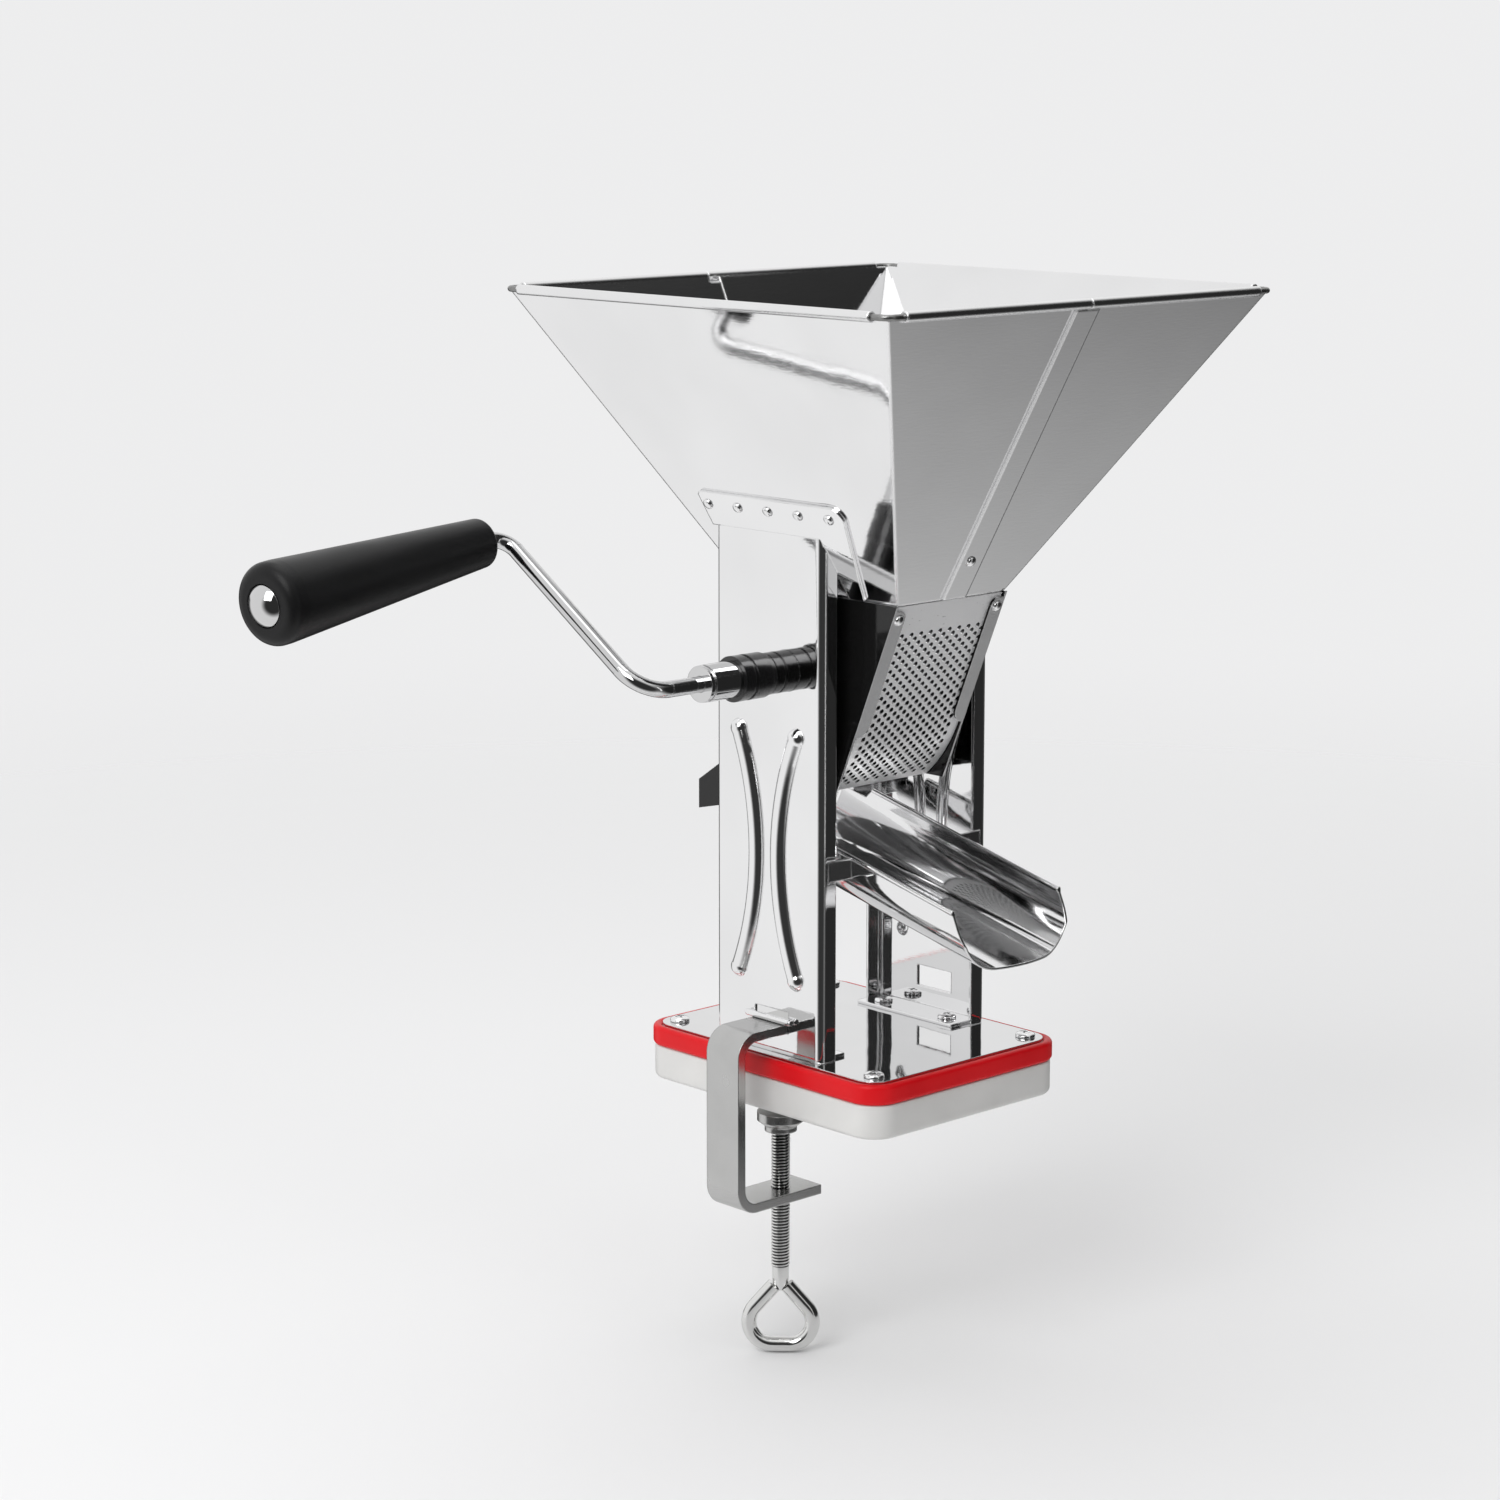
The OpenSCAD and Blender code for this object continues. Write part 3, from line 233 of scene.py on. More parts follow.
class Wiring:
    """A short way to wire the nodes of one tree."""

    def __init__(self, tree):
        self.tree = tree
        tree.nodes.clear()

    def add(self, kind, **values):
        """Adds a node and sets the values named."""
        node = self.tree.nodes.new(kind)
        for key, value in values.items():
            setattr(node, key, value)
        return node

    def link(self, source, target):
        self.tree.links.new(source, target)

    def ranged(self, value, low, high, from_low=0.3, from_high=0.7, smooth=False):
        """Carries a value from one range to another, held at both ends.

        The range it comes from is that of noise, where none is given."""
        node = self.add("ShaderNodeMapRange")
        node.interpolation_type = "SMOOTHSTEP" if smooth else "LINEAR"
        node.inputs["From Min"].default_value = from_low
        node.inputs["From Max"].default_value = from_high
        node.inputs["To Min"].default_value = low
        node.inputs["To Max"].default_value = high
        self.link(value, node.inputs["Value"])
        return node.outputs["Result"]

    def math(self, kind, first, second=0.0):
        """Works on two values, each a plain number or a socket."""
        node = self.add("ShaderNodeMath", operation=kind)
        for value, socket in zip((first, second), node.inputs):
            if isinstance(value, float):
                socket.default_value = value
            else:
                self.link(value, socket)
        return node.outputs["Value"]

    def length(self, vector):
        """Length of a vector."""
        node = self.add("ShaderNodeVectorMath", operation="LENGTH")
        self.link(vector, node.inputs[0])
        return node.outputs["Value"]

    def along(self, vector, direction):
        """How far a vector reaches along a direction."""
        node = self.add("ShaderNodeVectorMath", operation="DOT_PRODUCT")
        node.inputs[1].default_value = direction
        self.link(vector, node.inputs[0])
        return node.outputs["Value"]


class Nodes(Wiring):
    """The nodes of one material, with a principled shader."""

    def __init__(self, name):
        self.mat = bpy.data.materials.new(name)
        self.mat.use_nodes = True
        super().__init__(self.mat.node_tree)
        self.out = self.add("ShaderNodeOutputMaterial")
        self.shader = self.add("ShaderNodeBsdfPrincipled")
        self.link(self.shader.outputs["BSDF"], self.out.inputs["Surface"])
        self.place = self.add("ShaderNodeTexCoord").outputs["Object"]

    def mapped(self, scale):
        """The place on the object, scaled along each axis."""
        node = self.add("ShaderNodeMapping")
        node.inputs["Scale"].default_value = scale
        self.link(self.place, node.inputs["Vector"])
        return node.outputs["Vector"]

    def noise(self, vector, scale, detail=2.0, rough=0.5):
        """Smooth noise around 0.5."""
        node = self.add("ShaderNodeTexNoise")
        node.inputs["Scale"].default_value = scale
        node.inputs["Detail"].default_value = detail
        node.inputs["Roughness"].default_value = rough
        self.link(vector, node.inputs["Vector"])
        return node.outputs["Fac"]

    def tinted(self, value, dark, light):
        """A colour between a dark and a light one."""
        node = self.add("ShaderNodeMix", data_type="RGBA")
        node.inputs["A"].default_value = (*dark, 1.0)
        node.inputs["B"].default_value = (*light, 1.0)
        self.link(value, node.inputs["Factor"])
        return node.outputs["Result"]

    def rounded(self, radius):
        """The normal of the surface, with its edges softened to a radius."""
        node = self.add("ShaderNodeBevel", samples=6)
        node.inputs["Radius"].default_value = radius
        return node.outputs["Normal"]

    def darker_across(self, tint, factor):
        """Painted shade: darkens the colour of what looks along X, the cheeks and the walls of
        the holes.
        """
        normal = self.add("ShaderNodeTexCoord").outputs["Normal"]
        facing = self.math("ABSOLUTE", self.along(normal, (1.0, 0.0, 0.0)))
        node = self.add("ShaderNodeMix", data_type="RGBA", blend_type="MULTIPLY")
        self.link(tint, node.inputs["A"])
        node.inputs["B"].default_value = (factor, factor, factor, 1.0)
        share = self.ranged(facing, 0.0, 1.0, from_low=0.3, from_high=0.6)
        self.link(share, node.inputs["Factor"])
        return node.outputs["Result"]

    def bumped(self, height, distance, strength=1.0, normal=None):
        """A normal tilted by a height, on top of another normal."""
        node = self.add("ShaderNodeBump")
        node.inputs["Strength"].default_value = strength
        node.inputs["Distance"].default_value = distance
        self.link(height, node.inputs["Height"])
        if normal is not None:
            self.link(normal, node.inputs["Normal"])
        return node.outputs["Normal"]

    def set(self, **values):
        """Sets plain values on the shader's own sockets, with _ for each space."""
        for key, value in values.items():
            self.shader.inputs[key.replace("_", " ")].default_value = value


def shade(color, factor):
    """A colour made darker or lighter, up to white."""
    return tuple(min(1.0, c * factor) for c in color)


def polished_sheet(name, color, rough, grain, wave=1.0, edge=0.4 * MM, across=1.0, metal=1.0):
    """Polished steel sheet: faint polishing waves and a light haze of marks.

    Edge is the radius that softens its corners in the light, across is the painted shade on what
    looks along X, and metal is the share that mirrors."""
    wave_height, haze_height = 0.6 * MM * wave, 0.006 * MM
    haze_scale, haze_stretch = 260.0, (1.0, 1.0, 6.0)
    n = Nodes(name)
    n.set(Metallic=metal, Roughness=rough)
    broad = n.noise(n.place, 1.0 / grain)
    haze = n.noise(n.mapped(haze_stretch), haze_scale, detail=3.0, rough=0.6)
    n.link(n.ranged(haze, rough * 0.8, rough * 1.35), n.shader.inputs["Roughness"])
    tint = n.tinted(n.ranged(broad, 0.0, 1.0), shade(color, 0.965), shade(color, 1.02))
    # Painted shade on the faces that look along X
    if across < 1.0:
        tint = n.darker_across(tint, across)
    n.link(tint, n.shader.inputs["Base Color"])
    waved = n.bumped(broad, wave_height, normal=n.rounded(edge))
    n.link(n.bumped(haze, haze_height, normal=waved), n.shader.inputs["Normal"])
    return n.mat


def satin_plate(name, color, rough, edge=0.5 * MM):
    """Satin plated steel: fine grain with slight blotches."""
    grain_scale, grain_height, blotch_scale = 2600.0, 0.02 * MM, 90.0
    n = Nodes(name)
    n.set(Metallic=1.0, Roughness=rough)
    grain = n.noise(n.place, grain_scale, rough=0.6)
    blotch = n.noise(n.place, blotch_scale, detail=3.0)
    n.link(n.ranged(blotch, rough * 0.88, rough * 1.15), n.shader.inputs["Roughness"])
    n.link(n.tinted(n.ranged(blotch, 0.0, 1.0), shade(color, 0.93), color),
           n.shader.inputs["Base Color"])
    n.link(n.bumped(grain, grain_height, 0.8, n.rounded(edge)), n.shader.inputs["Normal"])
    return n.mat


def thread_start():
    """Height at which the thread begins, above the eye and the plain neck."""
    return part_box("clamp_screw")[0].z + EYE_HEIGHT + NECK_HEIGHT


def threaded_plate(name, color, rough):
    """Plated steel with painted shade in the roots of the thread, above the plain neck."""
    root, crest = SCREW_RADIUS - 0.4 * MM, SCREW_RADIUS - 0.1 * MM
    start, blend, root_shade, blotch_scale = thread_start(), 0.2 * MM, 0.06, 90.0
    n = Nodes(name)
    n.set(Metallic=1.0, Roughness=rough)
    from_axis = n.add("ShaderNodeMapping")
    from_axis.inputs["Location"].default_value = (-SCREW_AXIS.x, -SCREW_AXIS.y, 0.0)
    from_axis.inputs["Scale"].default_value = (1.0, 1.0, 0.0)
    n.link(n.place, from_axis.inputs["Vector"])
    raised = n.ranged(n.length(from_axis.outputs["Vector"]), 0.0, 1.0, root, crest)
    plain = n.ranged(n.along(n.place, UP), 1.0, 0.0, start - blend, start + blend)
    # Painted shade: the colour darkens from the crest to the root of the thread
    n.link(n.tinted(n.math("MAXIMUM", raised, plain), shade(color, root_shade), color),
           n.shader.inputs["Base Color"])
    blotch = n.noise(n.place, blotch_scale, detail=3.0)
    n.link(n.ranged(blotch, rough * 0.88, rough * 1.15), n.shader.inputs["Roughness"])
    return n.mat


def moulded_plastic(name, color, rough, grain_height, edge=0.5 * MM, coat=0.0, gloss=0.5):
    """Moulded plastic: fine spark-eroded grain and a slight unevenness of gloss."""
    grain_scale, blotch_scale, coat_rough = 1800.0, 60.0, 0.12
    n = Nodes(name)
    n.set(Roughness=rough, Coat_Weight=coat, Coat_Roughness=coat_rough,
          Specular_IOR_Level=gloss)
    grain = n.noise(n.place, grain_scale, rough=0.6)
    blotch = n.noise(n.place, blotch_scale, detail=3.0)
    n.link(n.ranged(blotch, rough * 0.9, rough * 1.12), n.shader.inputs["Roughness"])
    n.link(n.tinted(n.ranged(blotch, 0.0, 1.0), shade(color, 0.95), shade(color, 1.03)),
           n.shader.inputs["Base Color"])
    n.link(n.bumped(grain, grain_height, 0.7, n.rounded(edge)), n.shader.inputs["Normal"])
    return n.mat


# Finishes that are made already, by name
MADE = {}


def finish(key):
    """The named finish, made once from the settings."""
    if key in MADE:
        return MADE[key]
    steel = bpy.context.scene.strainer_steel
    plastic = bpy.context.scene.strainer_plastic
    mirror, rough, grain = tuple(steel.mirror_color), steel.mirror_rough, steel.wear_size
    zinc, black = tuple(steel.zinc_color), tuple(plastic.grip_color)
    recipes = {
        "hopper": lambda: polished_sheet(
            "hopper_sheet", tuple(steel.hopper_color), steel.hopper_rough, grain,
            wave=0.12, edge=1.2 * MM),
        "panel": lambda: polished_sheet(
            "panel_sheet", mirror, rough, grain, wave=0.5, edge=0.7 * MM),
        "chute": lambda: polished_sheet(
            "chute_sheet", mirror, rough * 1.5, grain, wave=0.04, edge=0.5 * MM),
        "plate": lambda: polished_sheet(
            "plate_sheet", shade(mirror, 0.84), rough * 0.8, grain, wave=0.6),
        # Painted dark reflection: what looks along X, the cheek plates, is darkened almost to
        # black
        "housing": lambda: polished_sheet(
            "housing_sheet", shade(mirror, 0.95), rough * 1.6, grain,
            wave=0.4, across=0.04, metal=0.75),
        # Rear wall painted near black: painted shade inside, behind the screen holes
        "inner": lambda: polished_sheet(
            "inner_sheet", shade(mirror, 0.1), rough * 3.0, grain, wave=0.4),
        # Painted shade: the walls of the holes, which look along X, are darkened
        "screen": lambda: polished_sheet(
            "screen_sheet", shade(mirror, 1.1), 0.34, grain,
            wave=0.4, edge=0.15 * MM, across=0.05, metal=0.5),
        "chrome": lambda: polished_sheet(
            "chrome_plating", shade(mirror, 0.75), 0.05, grain, wave=0.3, edge=0.3 * MM),
        "collar": lambda: polished_sheet(
            "collar_metal", shade(mirror, 0.07), 0.16, grain, wave=0.3),
        "rivet": lambda: polished_sheet(
            "rivet_steel", mirror, 0.16, 4 * MM, wave=0.05, edge=0.2 * MM),
        "wire": lambda: satin_plate("wire_steel", shade(zinc, 0.55), 0.34),
        "zinc": lambda: satin_plate("clamp_plating", zinc, steel.zinc_rough),
        # Screw plating with painted shade in the thread roots
        "thread": lambda: threaded_plate("thread_plating", shade(zinc, 1.4), 0.1),
        "grip": lambda: moulded_plastic(
            "grip_moulding", black, 0.36, 0.03 * MM, edge=0.8 * MM, gloss=0.22),
        "black": lambda: moulded_plastic(
            "ring_moulding", black, 0.22, 0.01 * MM, edge=0.4 * MM, coat=0.3),
        "bush": lambda: moulded_plastic(
            "bush_moulding", (0.06, 0.06, 0.065), 0.4, 0.01 * MM),
        "rotor": lambda: moulded_plastic(
            "rotor_moulding", tuple(plastic.rotor_color), 0.38, 0.01 * MM),
        "base": lambda: moulded_plastic(
            "base_moulding", tuple(plastic.base_color), 0.36, 0.01 * MM, edge=1.2 * MM),
        "gasket": lambda: moulded_plastic(
            "gasket_rubber", tuple(plastic.gasket_color), 0.34, 0.006 * MM,
            edge=1.0 * MM, gloss=0.22),
    }
    MADE[key] = recipes[key]()
    return MADE[key]


def give(obj, key):
    """Puts one finish on a whole object."""
    obj.data.materials.clear()
    obj.data.materials.append(finish(key))


# Mesh helpers


def smoothed(mesh):
    """Shades a mesh round, but for its sharp edges."""
    for poly in mesh.polygons:
        poly.use_smooth = True
    mesh.set_sharp_from_angle(angle=SHARP_ANGLE)


def new_piece(name, mesh, key, body, replaced):
    """Links a finished mesh as a piece of the object, in place of a CAD node."""
    obj = bpy.data.objects.new(name, mesh)
    bpy.context.scene.collection.objects.link(obj)
    give(obj, key)
    if not mesh.has_custom_normals:
        smoothed(mesh)
    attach(obj, body)
    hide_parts(replaced)


def mesh_from(name, bm):
    """Closes a bmesh into a named mesh, with its doubles merged and its faces outwards."""
    bmesh.ops.remove_doubles(bm, verts=bm.verts, dist=MERGE_OWN)
    bmesh.ops.recalc_face_normals(bm, faces=bm.faces)
    mesh = bpy.data.meshes.new(name)
    bm.to_mesh(mesh)
    bm.free()
    return mesh


def evaluated(obj, name):
    """The plain mesh that an object's modifiers make of it."""
    bpy.context.view_layer.update()
    graph = bpy.context.evaluated_depsgraph_get()
    made = bpy.data.meshes.new_from_object(obj.evaluated_get(graph), depsgraph=graph)
    made.name = name
    return made


def merged(node):
    """A bmesh copy of a CAD node, with its loose triangles merged."""
    bm = bmesh.new()
    bm.from_mesh(NODES[node].data)
    bmesh.ops.remove_doubles(bm, verts=bm.verts, dist=MERGE_CAD)
    return bm


def even_shading(mesh):
    """The same mesh with large flat faces shaded flat and the narrow bends shaded round."""
    smoothed(mesh)
    carrier = bpy.data.objects.new(mesh.name + "_carrier", mesh)
    bpy.context.scene.collection.objects.link(carrier)
    weigh = carrier.modifiers.new("weigh", "WEIGHTED_NORMAL")
    weigh.mode, weigh.weight, weigh.keep_sharp = "FACE_AREA", 100, True
    made = evaluated(carrier, mesh.name)
    bpy.data.objects.remove(carrier)
    return made


def ring(bm, centre, x_axis, y_axis, radius, steps):
    """Points of a circle, from two axes across it."""
    turns = [math.tau * k / steps for k in range(steps)]
    return [bm.verts.new(centre + radius * (x_axis * math.cos(a) + y_axis * math.sin(a)))
            for a in turns]


def bridge(bm, loops, closed=False):
    """Joins each loop to the next, and the last to the first where the sweep is closed."""
    for low, high in zip(loops, loops[1:] + (loops[:1] if closed else [])):
        for k in range(len(low)):
            j = (k + 1) % len(low)
            bm.faces.new((low[k], low[j], high[j], high[k]))


def add_revolved(bm, profile, origin, axis, steps=48):
    """Adds a closed solid of revolution. The profile is (radius, height) pairs, and its
    first and last points lie on the axis."""
    turn = axis.to_track_quat("Z", "Y").to_matrix()
    x_axis, y_axis, z_axis = turn.col
    rings = [ring(bm, origin + z_axis * height, x_axis, y_axis, radius, steps)
             for radius, height in profile[1:-1]]
    bridge(bm, rings)
    start, end = (bm.verts.new(origin + z_axis * profile[k][1]) for k in (0, -1))
    for k in range(steps):
        j = (k + 1) % steps
        bm.faces.new((start, rings[0][k], rings[0][j]))
        bm.faces.new((rings[-1][k], rings[-1][j], end))


def add_tube(bm, path, radius, steps=20):
    """Adds a round rod along the points of a path, with closed flat ends."""
    normal = None
    rings = []
    for i, point in enumerate(path):
        ahead = (path[min(i + 1, len(path) - 1)] - path[max(i - 1, 0)]).normalized()
        if normal is None:
            normal = ahead.orthogonal().normalized()
        normal = (normal - ahead * normal.dot(ahead)).normalized()
        rings.append(ring(bm, point, normal, ahead.cross(normal), radius, steps))
    bridge(bm, rings)
    bm.faces.new(rings[0][::-1])
    bm.faces.new(rings[-1])


def rounded_path(corners, radius, steps=10):
    """Points along straight runs joined by arcs of one radius."""
    points = [corners[0]]
    for before, corner, after in zip(corners, corners[1:], corners[2:]):
        back, ahead = (before - corner).normalized(), (after - corner).normalized()
        half = math.acos(max(-1, min(1, back.dot(ahead)))) / 2
        reach = radius / math.tan(half)
        centre = corner + (back + ahead).normalized() * (radius / math.sin(half))
        start, end = corner + back * reach - centre, corner + ahead * reach - centre
        angle = start.angle(end)
        for k in range(steps + 1):
            t = k / steps
            arm = start * math.sin((1 - t) * angle) + end * math.sin(t * angle)
            points.append(centre + arm / math.sin(angle))
    points.append(corners[-1])
    return points


def add_rim(bm, size_x, size_y, corner, profile, steps=16):
    """Loops of a profile of (inset, height) swept round a rectangle with round corners."""
    loops = []
    for inset, height in profile:
        loop = []
        hx, hy, r = size_x / 2 - inset, size_y / 2 - inset, corner - inset
        for cx, cy, start in ((1, 1, 0), (-1, 1, 90), (-1, -1, 180), (1, -1, 270)):
            for k in range(steps + 1):
                a = math.radians(start + 90 * k / steps)
                loop.append(bm.verts.new((
                    cx * (hx - r) + r * math.cos(a), cy * (hy - r) + r * math.sin(a), height)))
        loops.append(loop)
    return loops


def quarter(cx, cy, r, start, steps=6):
    """Points of a quarter circle in a profile, from the angle start, in degrees."""
    angles = [math.radians(start + 90 * k / steps) for k in range(steps + 1)]
    return [(cx + r * math.cos(a), cy + r * math.sin(a)) for a in angles]


def underside(faces):
    """Area of a group of flat faces; where two tie, the one at two heights wins."""
    tie_break = 1e-4
    across = faces[0].normal
    heights = [v.co.dot(across) for f in faces for v in f.verts]
    return sum(f.calc_area() for f in faces) + tie_break * (max(heights) - min(heights))


def islands(bm):
    """Groups of faces that hang together, one for each solid."""
    seen = set()
    for start in bm.faces:
        if start in seen:
            continue
        group, queue = [], [start]
        seen.add(start)
        while queue:
            face = queue.pop()
            group.append(face)
            for other in (f for edge in face.edges for f in edge.link_faces):
                if other not in seen:
                    seen.add(other)
                    queue.append(other)
        yield group


def fastener_places(node):
    """Seat point and outward direction of each fastener, read from the CAD node.

    The flat underside of a head is the largest face of one direction on its solid."""
    bm = merged(node)
    places = []
    for group in islands(bm):
        facing = {}
        for face in group:
            key = tuple(round(c, 2) for c in face.normal)
            facing.setdefault(key, []).append(face)
        flat = max(facing.values(), key=underside)
        out = -sum((f.normal * f.calc_area() for f in flat), Vector()).normalized()
        verts = {v for f in group for v in f.verts}
        centre = sum((v.co for v in verts), Vector()) / len(verts)
        seat = max(v.co.dot(out) for f in flat for v in f.verts)
        places.append((centre + out * (seat - centre.dot(out)), out))
    bm.free()
    if not places:
        raise RuntimeError(f"no places found on {node}")
    return places


def heads_tree(name):
    """Geometry nodes that set one head on every point, turned along its outward vector."""
    tree = bpy.data.node_groups.new(name, "GeometryNodeTree")
    sockets = {}
    for label, kind in (
            ("Geometry", "NodeSocketGeometry"), ("Head", "NodeSocketObject"),
            ("Width", "NodeSocketFloat"), ("Rise", "NodeSocketFloat"),
            ("Finish", "NodeSocketMaterial"), ("Seed", "NodeSocketInt")):
        socket = tree.interface.new_socket(name=label, in_out="INPUT", socket_type=kind)
        sockets[label] = socket.identifier
    tree.interface.new_socket(
        name="Geometry", in_out="OUTPUT", socket_type="NodeSocketGeometry")
    add = tree.nodes.new
    given = add("NodeGroupInput").outputs
    head = add("GeometryNodeObjectInfo")
    size = add("ShaderNodeCombineXYZ")
    outward = add("GeometryNodeInputNamedAttribute")
    outward.data_type = "FLOAT_VECTOR"
    outward.inputs["Name"].default_value = "outward"
    turned = add("FunctionNodeAlignRotationToVector")
    turned.axis = "Z"
    chance = add("FunctionNodeRandomValue")
    chance.data_type = "FLOAT"
    low, high = [socket for socket in chance.inputs if socket.type == "VALUE"][:2]
    low.default_value, high.default_value = 0.0, math.tau
    spun = next(socket for socket in chance.outputs if socket.type == "VALUE")
    angles = add("ShaderNodeCombineXYZ")
    spin = add("FunctionNodeRotateRotation")
    spin.rotation_space = "LOCAL"
    place = add("GeometryNodeInstanceOnPoints")
    real = add("GeometryNodeRealizeInstances")
    paint = add("GeometryNodeSetMaterial")
    done = add("NodeGroupOutput")
    for source, target in (
            (given["Head"], head.inputs["Object"]),
            (given["Seed"], chance.inputs["Seed"]),
            (given["Width"], size.inputs["X"]),
            (given["Width"], size.inputs["Y"]),
            (given["Rise"], size.inputs["Z"]),
            (spun, angles.inputs["Z"]),
            (outward.outputs["Attribute"], turned.inputs["Vector"]),
            (turned.outputs["Rotation"], spin.inputs["Rotation"]),
            (angles.outputs["Vector"], spin.inputs["Rotate By"]),
            (given["Geometry"], place.inputs["Points"]),
            (head.outputs["Geometry"], place.inputs["Instance"]),
            (spin.outputs["Rotation"], place.inputs["Rotation"]),
            (size.outputs["Vector"], place.inputs["Scale"]),
            (place.outputs["Instances"], real.inputs["Geometry"]),
            (real.outputs["Geometry"], paint.inputs["Geometry"]),
            (given["Finish"], paint.inputs["Material"]),
            (paint.outputs["Geometry"], done.inputs["Geometry"])):
        tree.links.new(source, target)
    return tree, sockets


def heads(name, places, head, width, rise, key, seed):
    """A plain mesh of one head on every place, made with geometry nodes."""
    mesh = bpy.data.meshes.new(name + "_points")
    mesh.from_pydata([tuple(point) for point, _ in places], [], [])
    outward = mesh.attributes.new("outward", "FLOAT_VECTOR", "POINT")
    for k, (_, out) in enumerate(places):
        outward.data[k].vector = out
    points = bpy.data.objects.new(name + "_points", mesh)
    model = bpy.data.objects.new(name + "_head", head)
    for obj in (points, model):
        bpy.context.scene.collection.objects.link(obj)
    tree, sockets = heads_tree(name + "_nodes")
    modifier = points.modifiers.new("heads", "NODES")
    modifier.node_group = tree
    for label, value in (("Head", model), ("Width", width), ("Rise", rise),
                         ("Finish", finish(key)), ("Seed", seed)):
        modifier[sockets[label]] = value
    made = evaluated(points, name)
    for obj in (points, model):
        bpy.data.objects.remove(obj)
    return made


def domed(wide, low):
    """Points of a dome one unit high, from its brim at the height low."""
    angles = [math.radians(a) for a in range(0, 90, 15)]
    return [(wide / 2 * math.cos(a), low + (1.0 - low) * math.sin(a)) for a in angles]


def rivet_head():
    """A domed rivet head, one unit wide and one high, with a slight flat rim."""
    bm = bmesh.new()
    add_revolved(bm, [(0, 0), (0.5, 0), (0.5, 0.12), *domed(0.96, 0.16), (0, 1.0)],
                 Vector(), UP, 24)
    return mesh_from("rivet_head", bm)


def screw_head():
    """A domed screw head, one unit wide and one high, with a cross recess."""
    bm = bmesh.new()
    add_revolved(bm, [(0, 0), (0.48, 0), (0.5, 0.08), *domed(1.0, 0.3), (0, 1.0)],
                 Vector(), UP, 32)
    body = bpy.data.objects.new("screw_blank", mesh_from("screw_blank", bm))
    slot_long, slot_wide, slot_deep = 0.5, 0.11, 0.45
    bm = bmesh.new()
    for x, y in ((slot_long, slot_wide), (slot_wide, slot_long)):
        bmesh.ops.create_cube(bm, size=1.0, matrix=Matrix.LocRotScale(
            UP, None, Vector((x, y, 2 * slot_deep))))
    cutter = bpy.data.objects.new("cross_cutter", mesh_from("cross_cutter", bm))
    for obj in (body, cutter):
        bpy.context.scene.collection.objects.link(obj)
    cut = body.modifiers.new("cross", "BOOLEAN")
    cut.operation, cut.object, cut.solver, cut.use_self = "DIFFERENCE", cutter, "EXACT", True
    mesh = evaluated(body, "screw_head")
    for obj in (body, cutter):
        bpy.data.objects.remove(obj)
    return mesh


# Operators


class STRAINER_OT_finish_cad(Operator):
    """Gives every carried-over solid its finish"""

    bl_idname = "strainer.finish_cad"
    bl_label = "Finish solids"

    def execute(self, context):
        finishes = {
            "hopper_left": "hopper", "hopper_right": "hopper", "rim_wire": "wire",
            "seam_rivets": "rivet", "flange_rivets": "rivet", "housing_rivets": "rivet",
            "panel_near": "panel", "panel_far": "panel", "cheek_near": "housing",
            "cheek_far": "housing", "rear_wall": "inner", "screen": "screen",
            "skins_chute": "housing", "rotor": "rotor", "shaft": "chrome",
            "bush_near": "bush", "bush_far": "bush", "hub_collar": "collar",
            "coupling_ring": "black", "crank_sleeve": "chrome", "crank_rod": "chrome",
            "grip": "grip", "pin_cap": "chrome", "juice_chute": "chute", "base_box": "base",
            "base_gasket": "gasket", "base_plate": "plate", "plate_screws": "rivet",
            "foot_screws": "rivet", "clamp_bar": "zinc", "clamp_stop": "rivet",
            "clamp_pad": "zinc", "clamp_screw": "zinc",
        }
        missing = sorted(set(NODES) - set(finishes))
        if missing:
            raise RuntimeError(f"no finish for {missing}")
        for node, key in finishes.items():
            give(NODES[node], key)
        return {"FINISHED"}


class STRAINER_OT_base(Operator):
    """Builds the plastic base and its gasket with rounded edges"""

    bl_idname = "strainer.base"
    bl_label = "Base and gasket"

    def execute(self, context):
        self.gasket()
        self.box()
        return {"FINISHED"}

    def gasket(self):
        """A closed ring of rounded section on the base box."""
        low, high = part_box("base_gasket")
        wide, corner = 3.0 * MM, 10.0 * MM
        edge, seat_edge = 1.3 * MM, 0.4 * MM
        bm = bmesh.new()
        profile = (
            quarter(edge, low.z + edge, edge, 180)
            + quarter(wide - seat_edge, low.z + seat_edge, seat_edge, 270, 3)
            + quarter(wide - edge, high.z - edge, edge, 0)
            + quarter(edge, high.z - edge, edge, 90))
        loops = add_rim(bm, high.x - low.x, high.y - low.y, corner, profile)
        bridge(bm, loops, closed=True)
        new_piece("gasket_seal", mesh_from("gasket_seal", bm), "gasket", "machine",
                  "base_gasket")

    def box(self):
        """Rounded foot and lip, and a step in from the lip to the top."""
        low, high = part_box("base_box")
        foot, lip, step, corner = 1.8 * MM, 0.6 * MM, 2.45 * MM, 9.4 * MM
        bm = bmesh.new()
        profile = (
            quarter(foot, low.z + foot, foot, 180)[::-1]
            + quarter(lip, BASE_SEAM - lip, lip, 90)[::-1]
            + [(step, BASE_SEAM), (step, high.z)])
        loops = add_rim(bm, high.x - low.x, high.y - low.y, corner, profile)
        bridge(bm, loops)
        bm.faces.new(loops[0][::-1])
        bm.faces.new(loops[-1])
        new_piece("base_moulding", mesh_from("base_moulding", bm), "base", "machine",
                  "base_box")


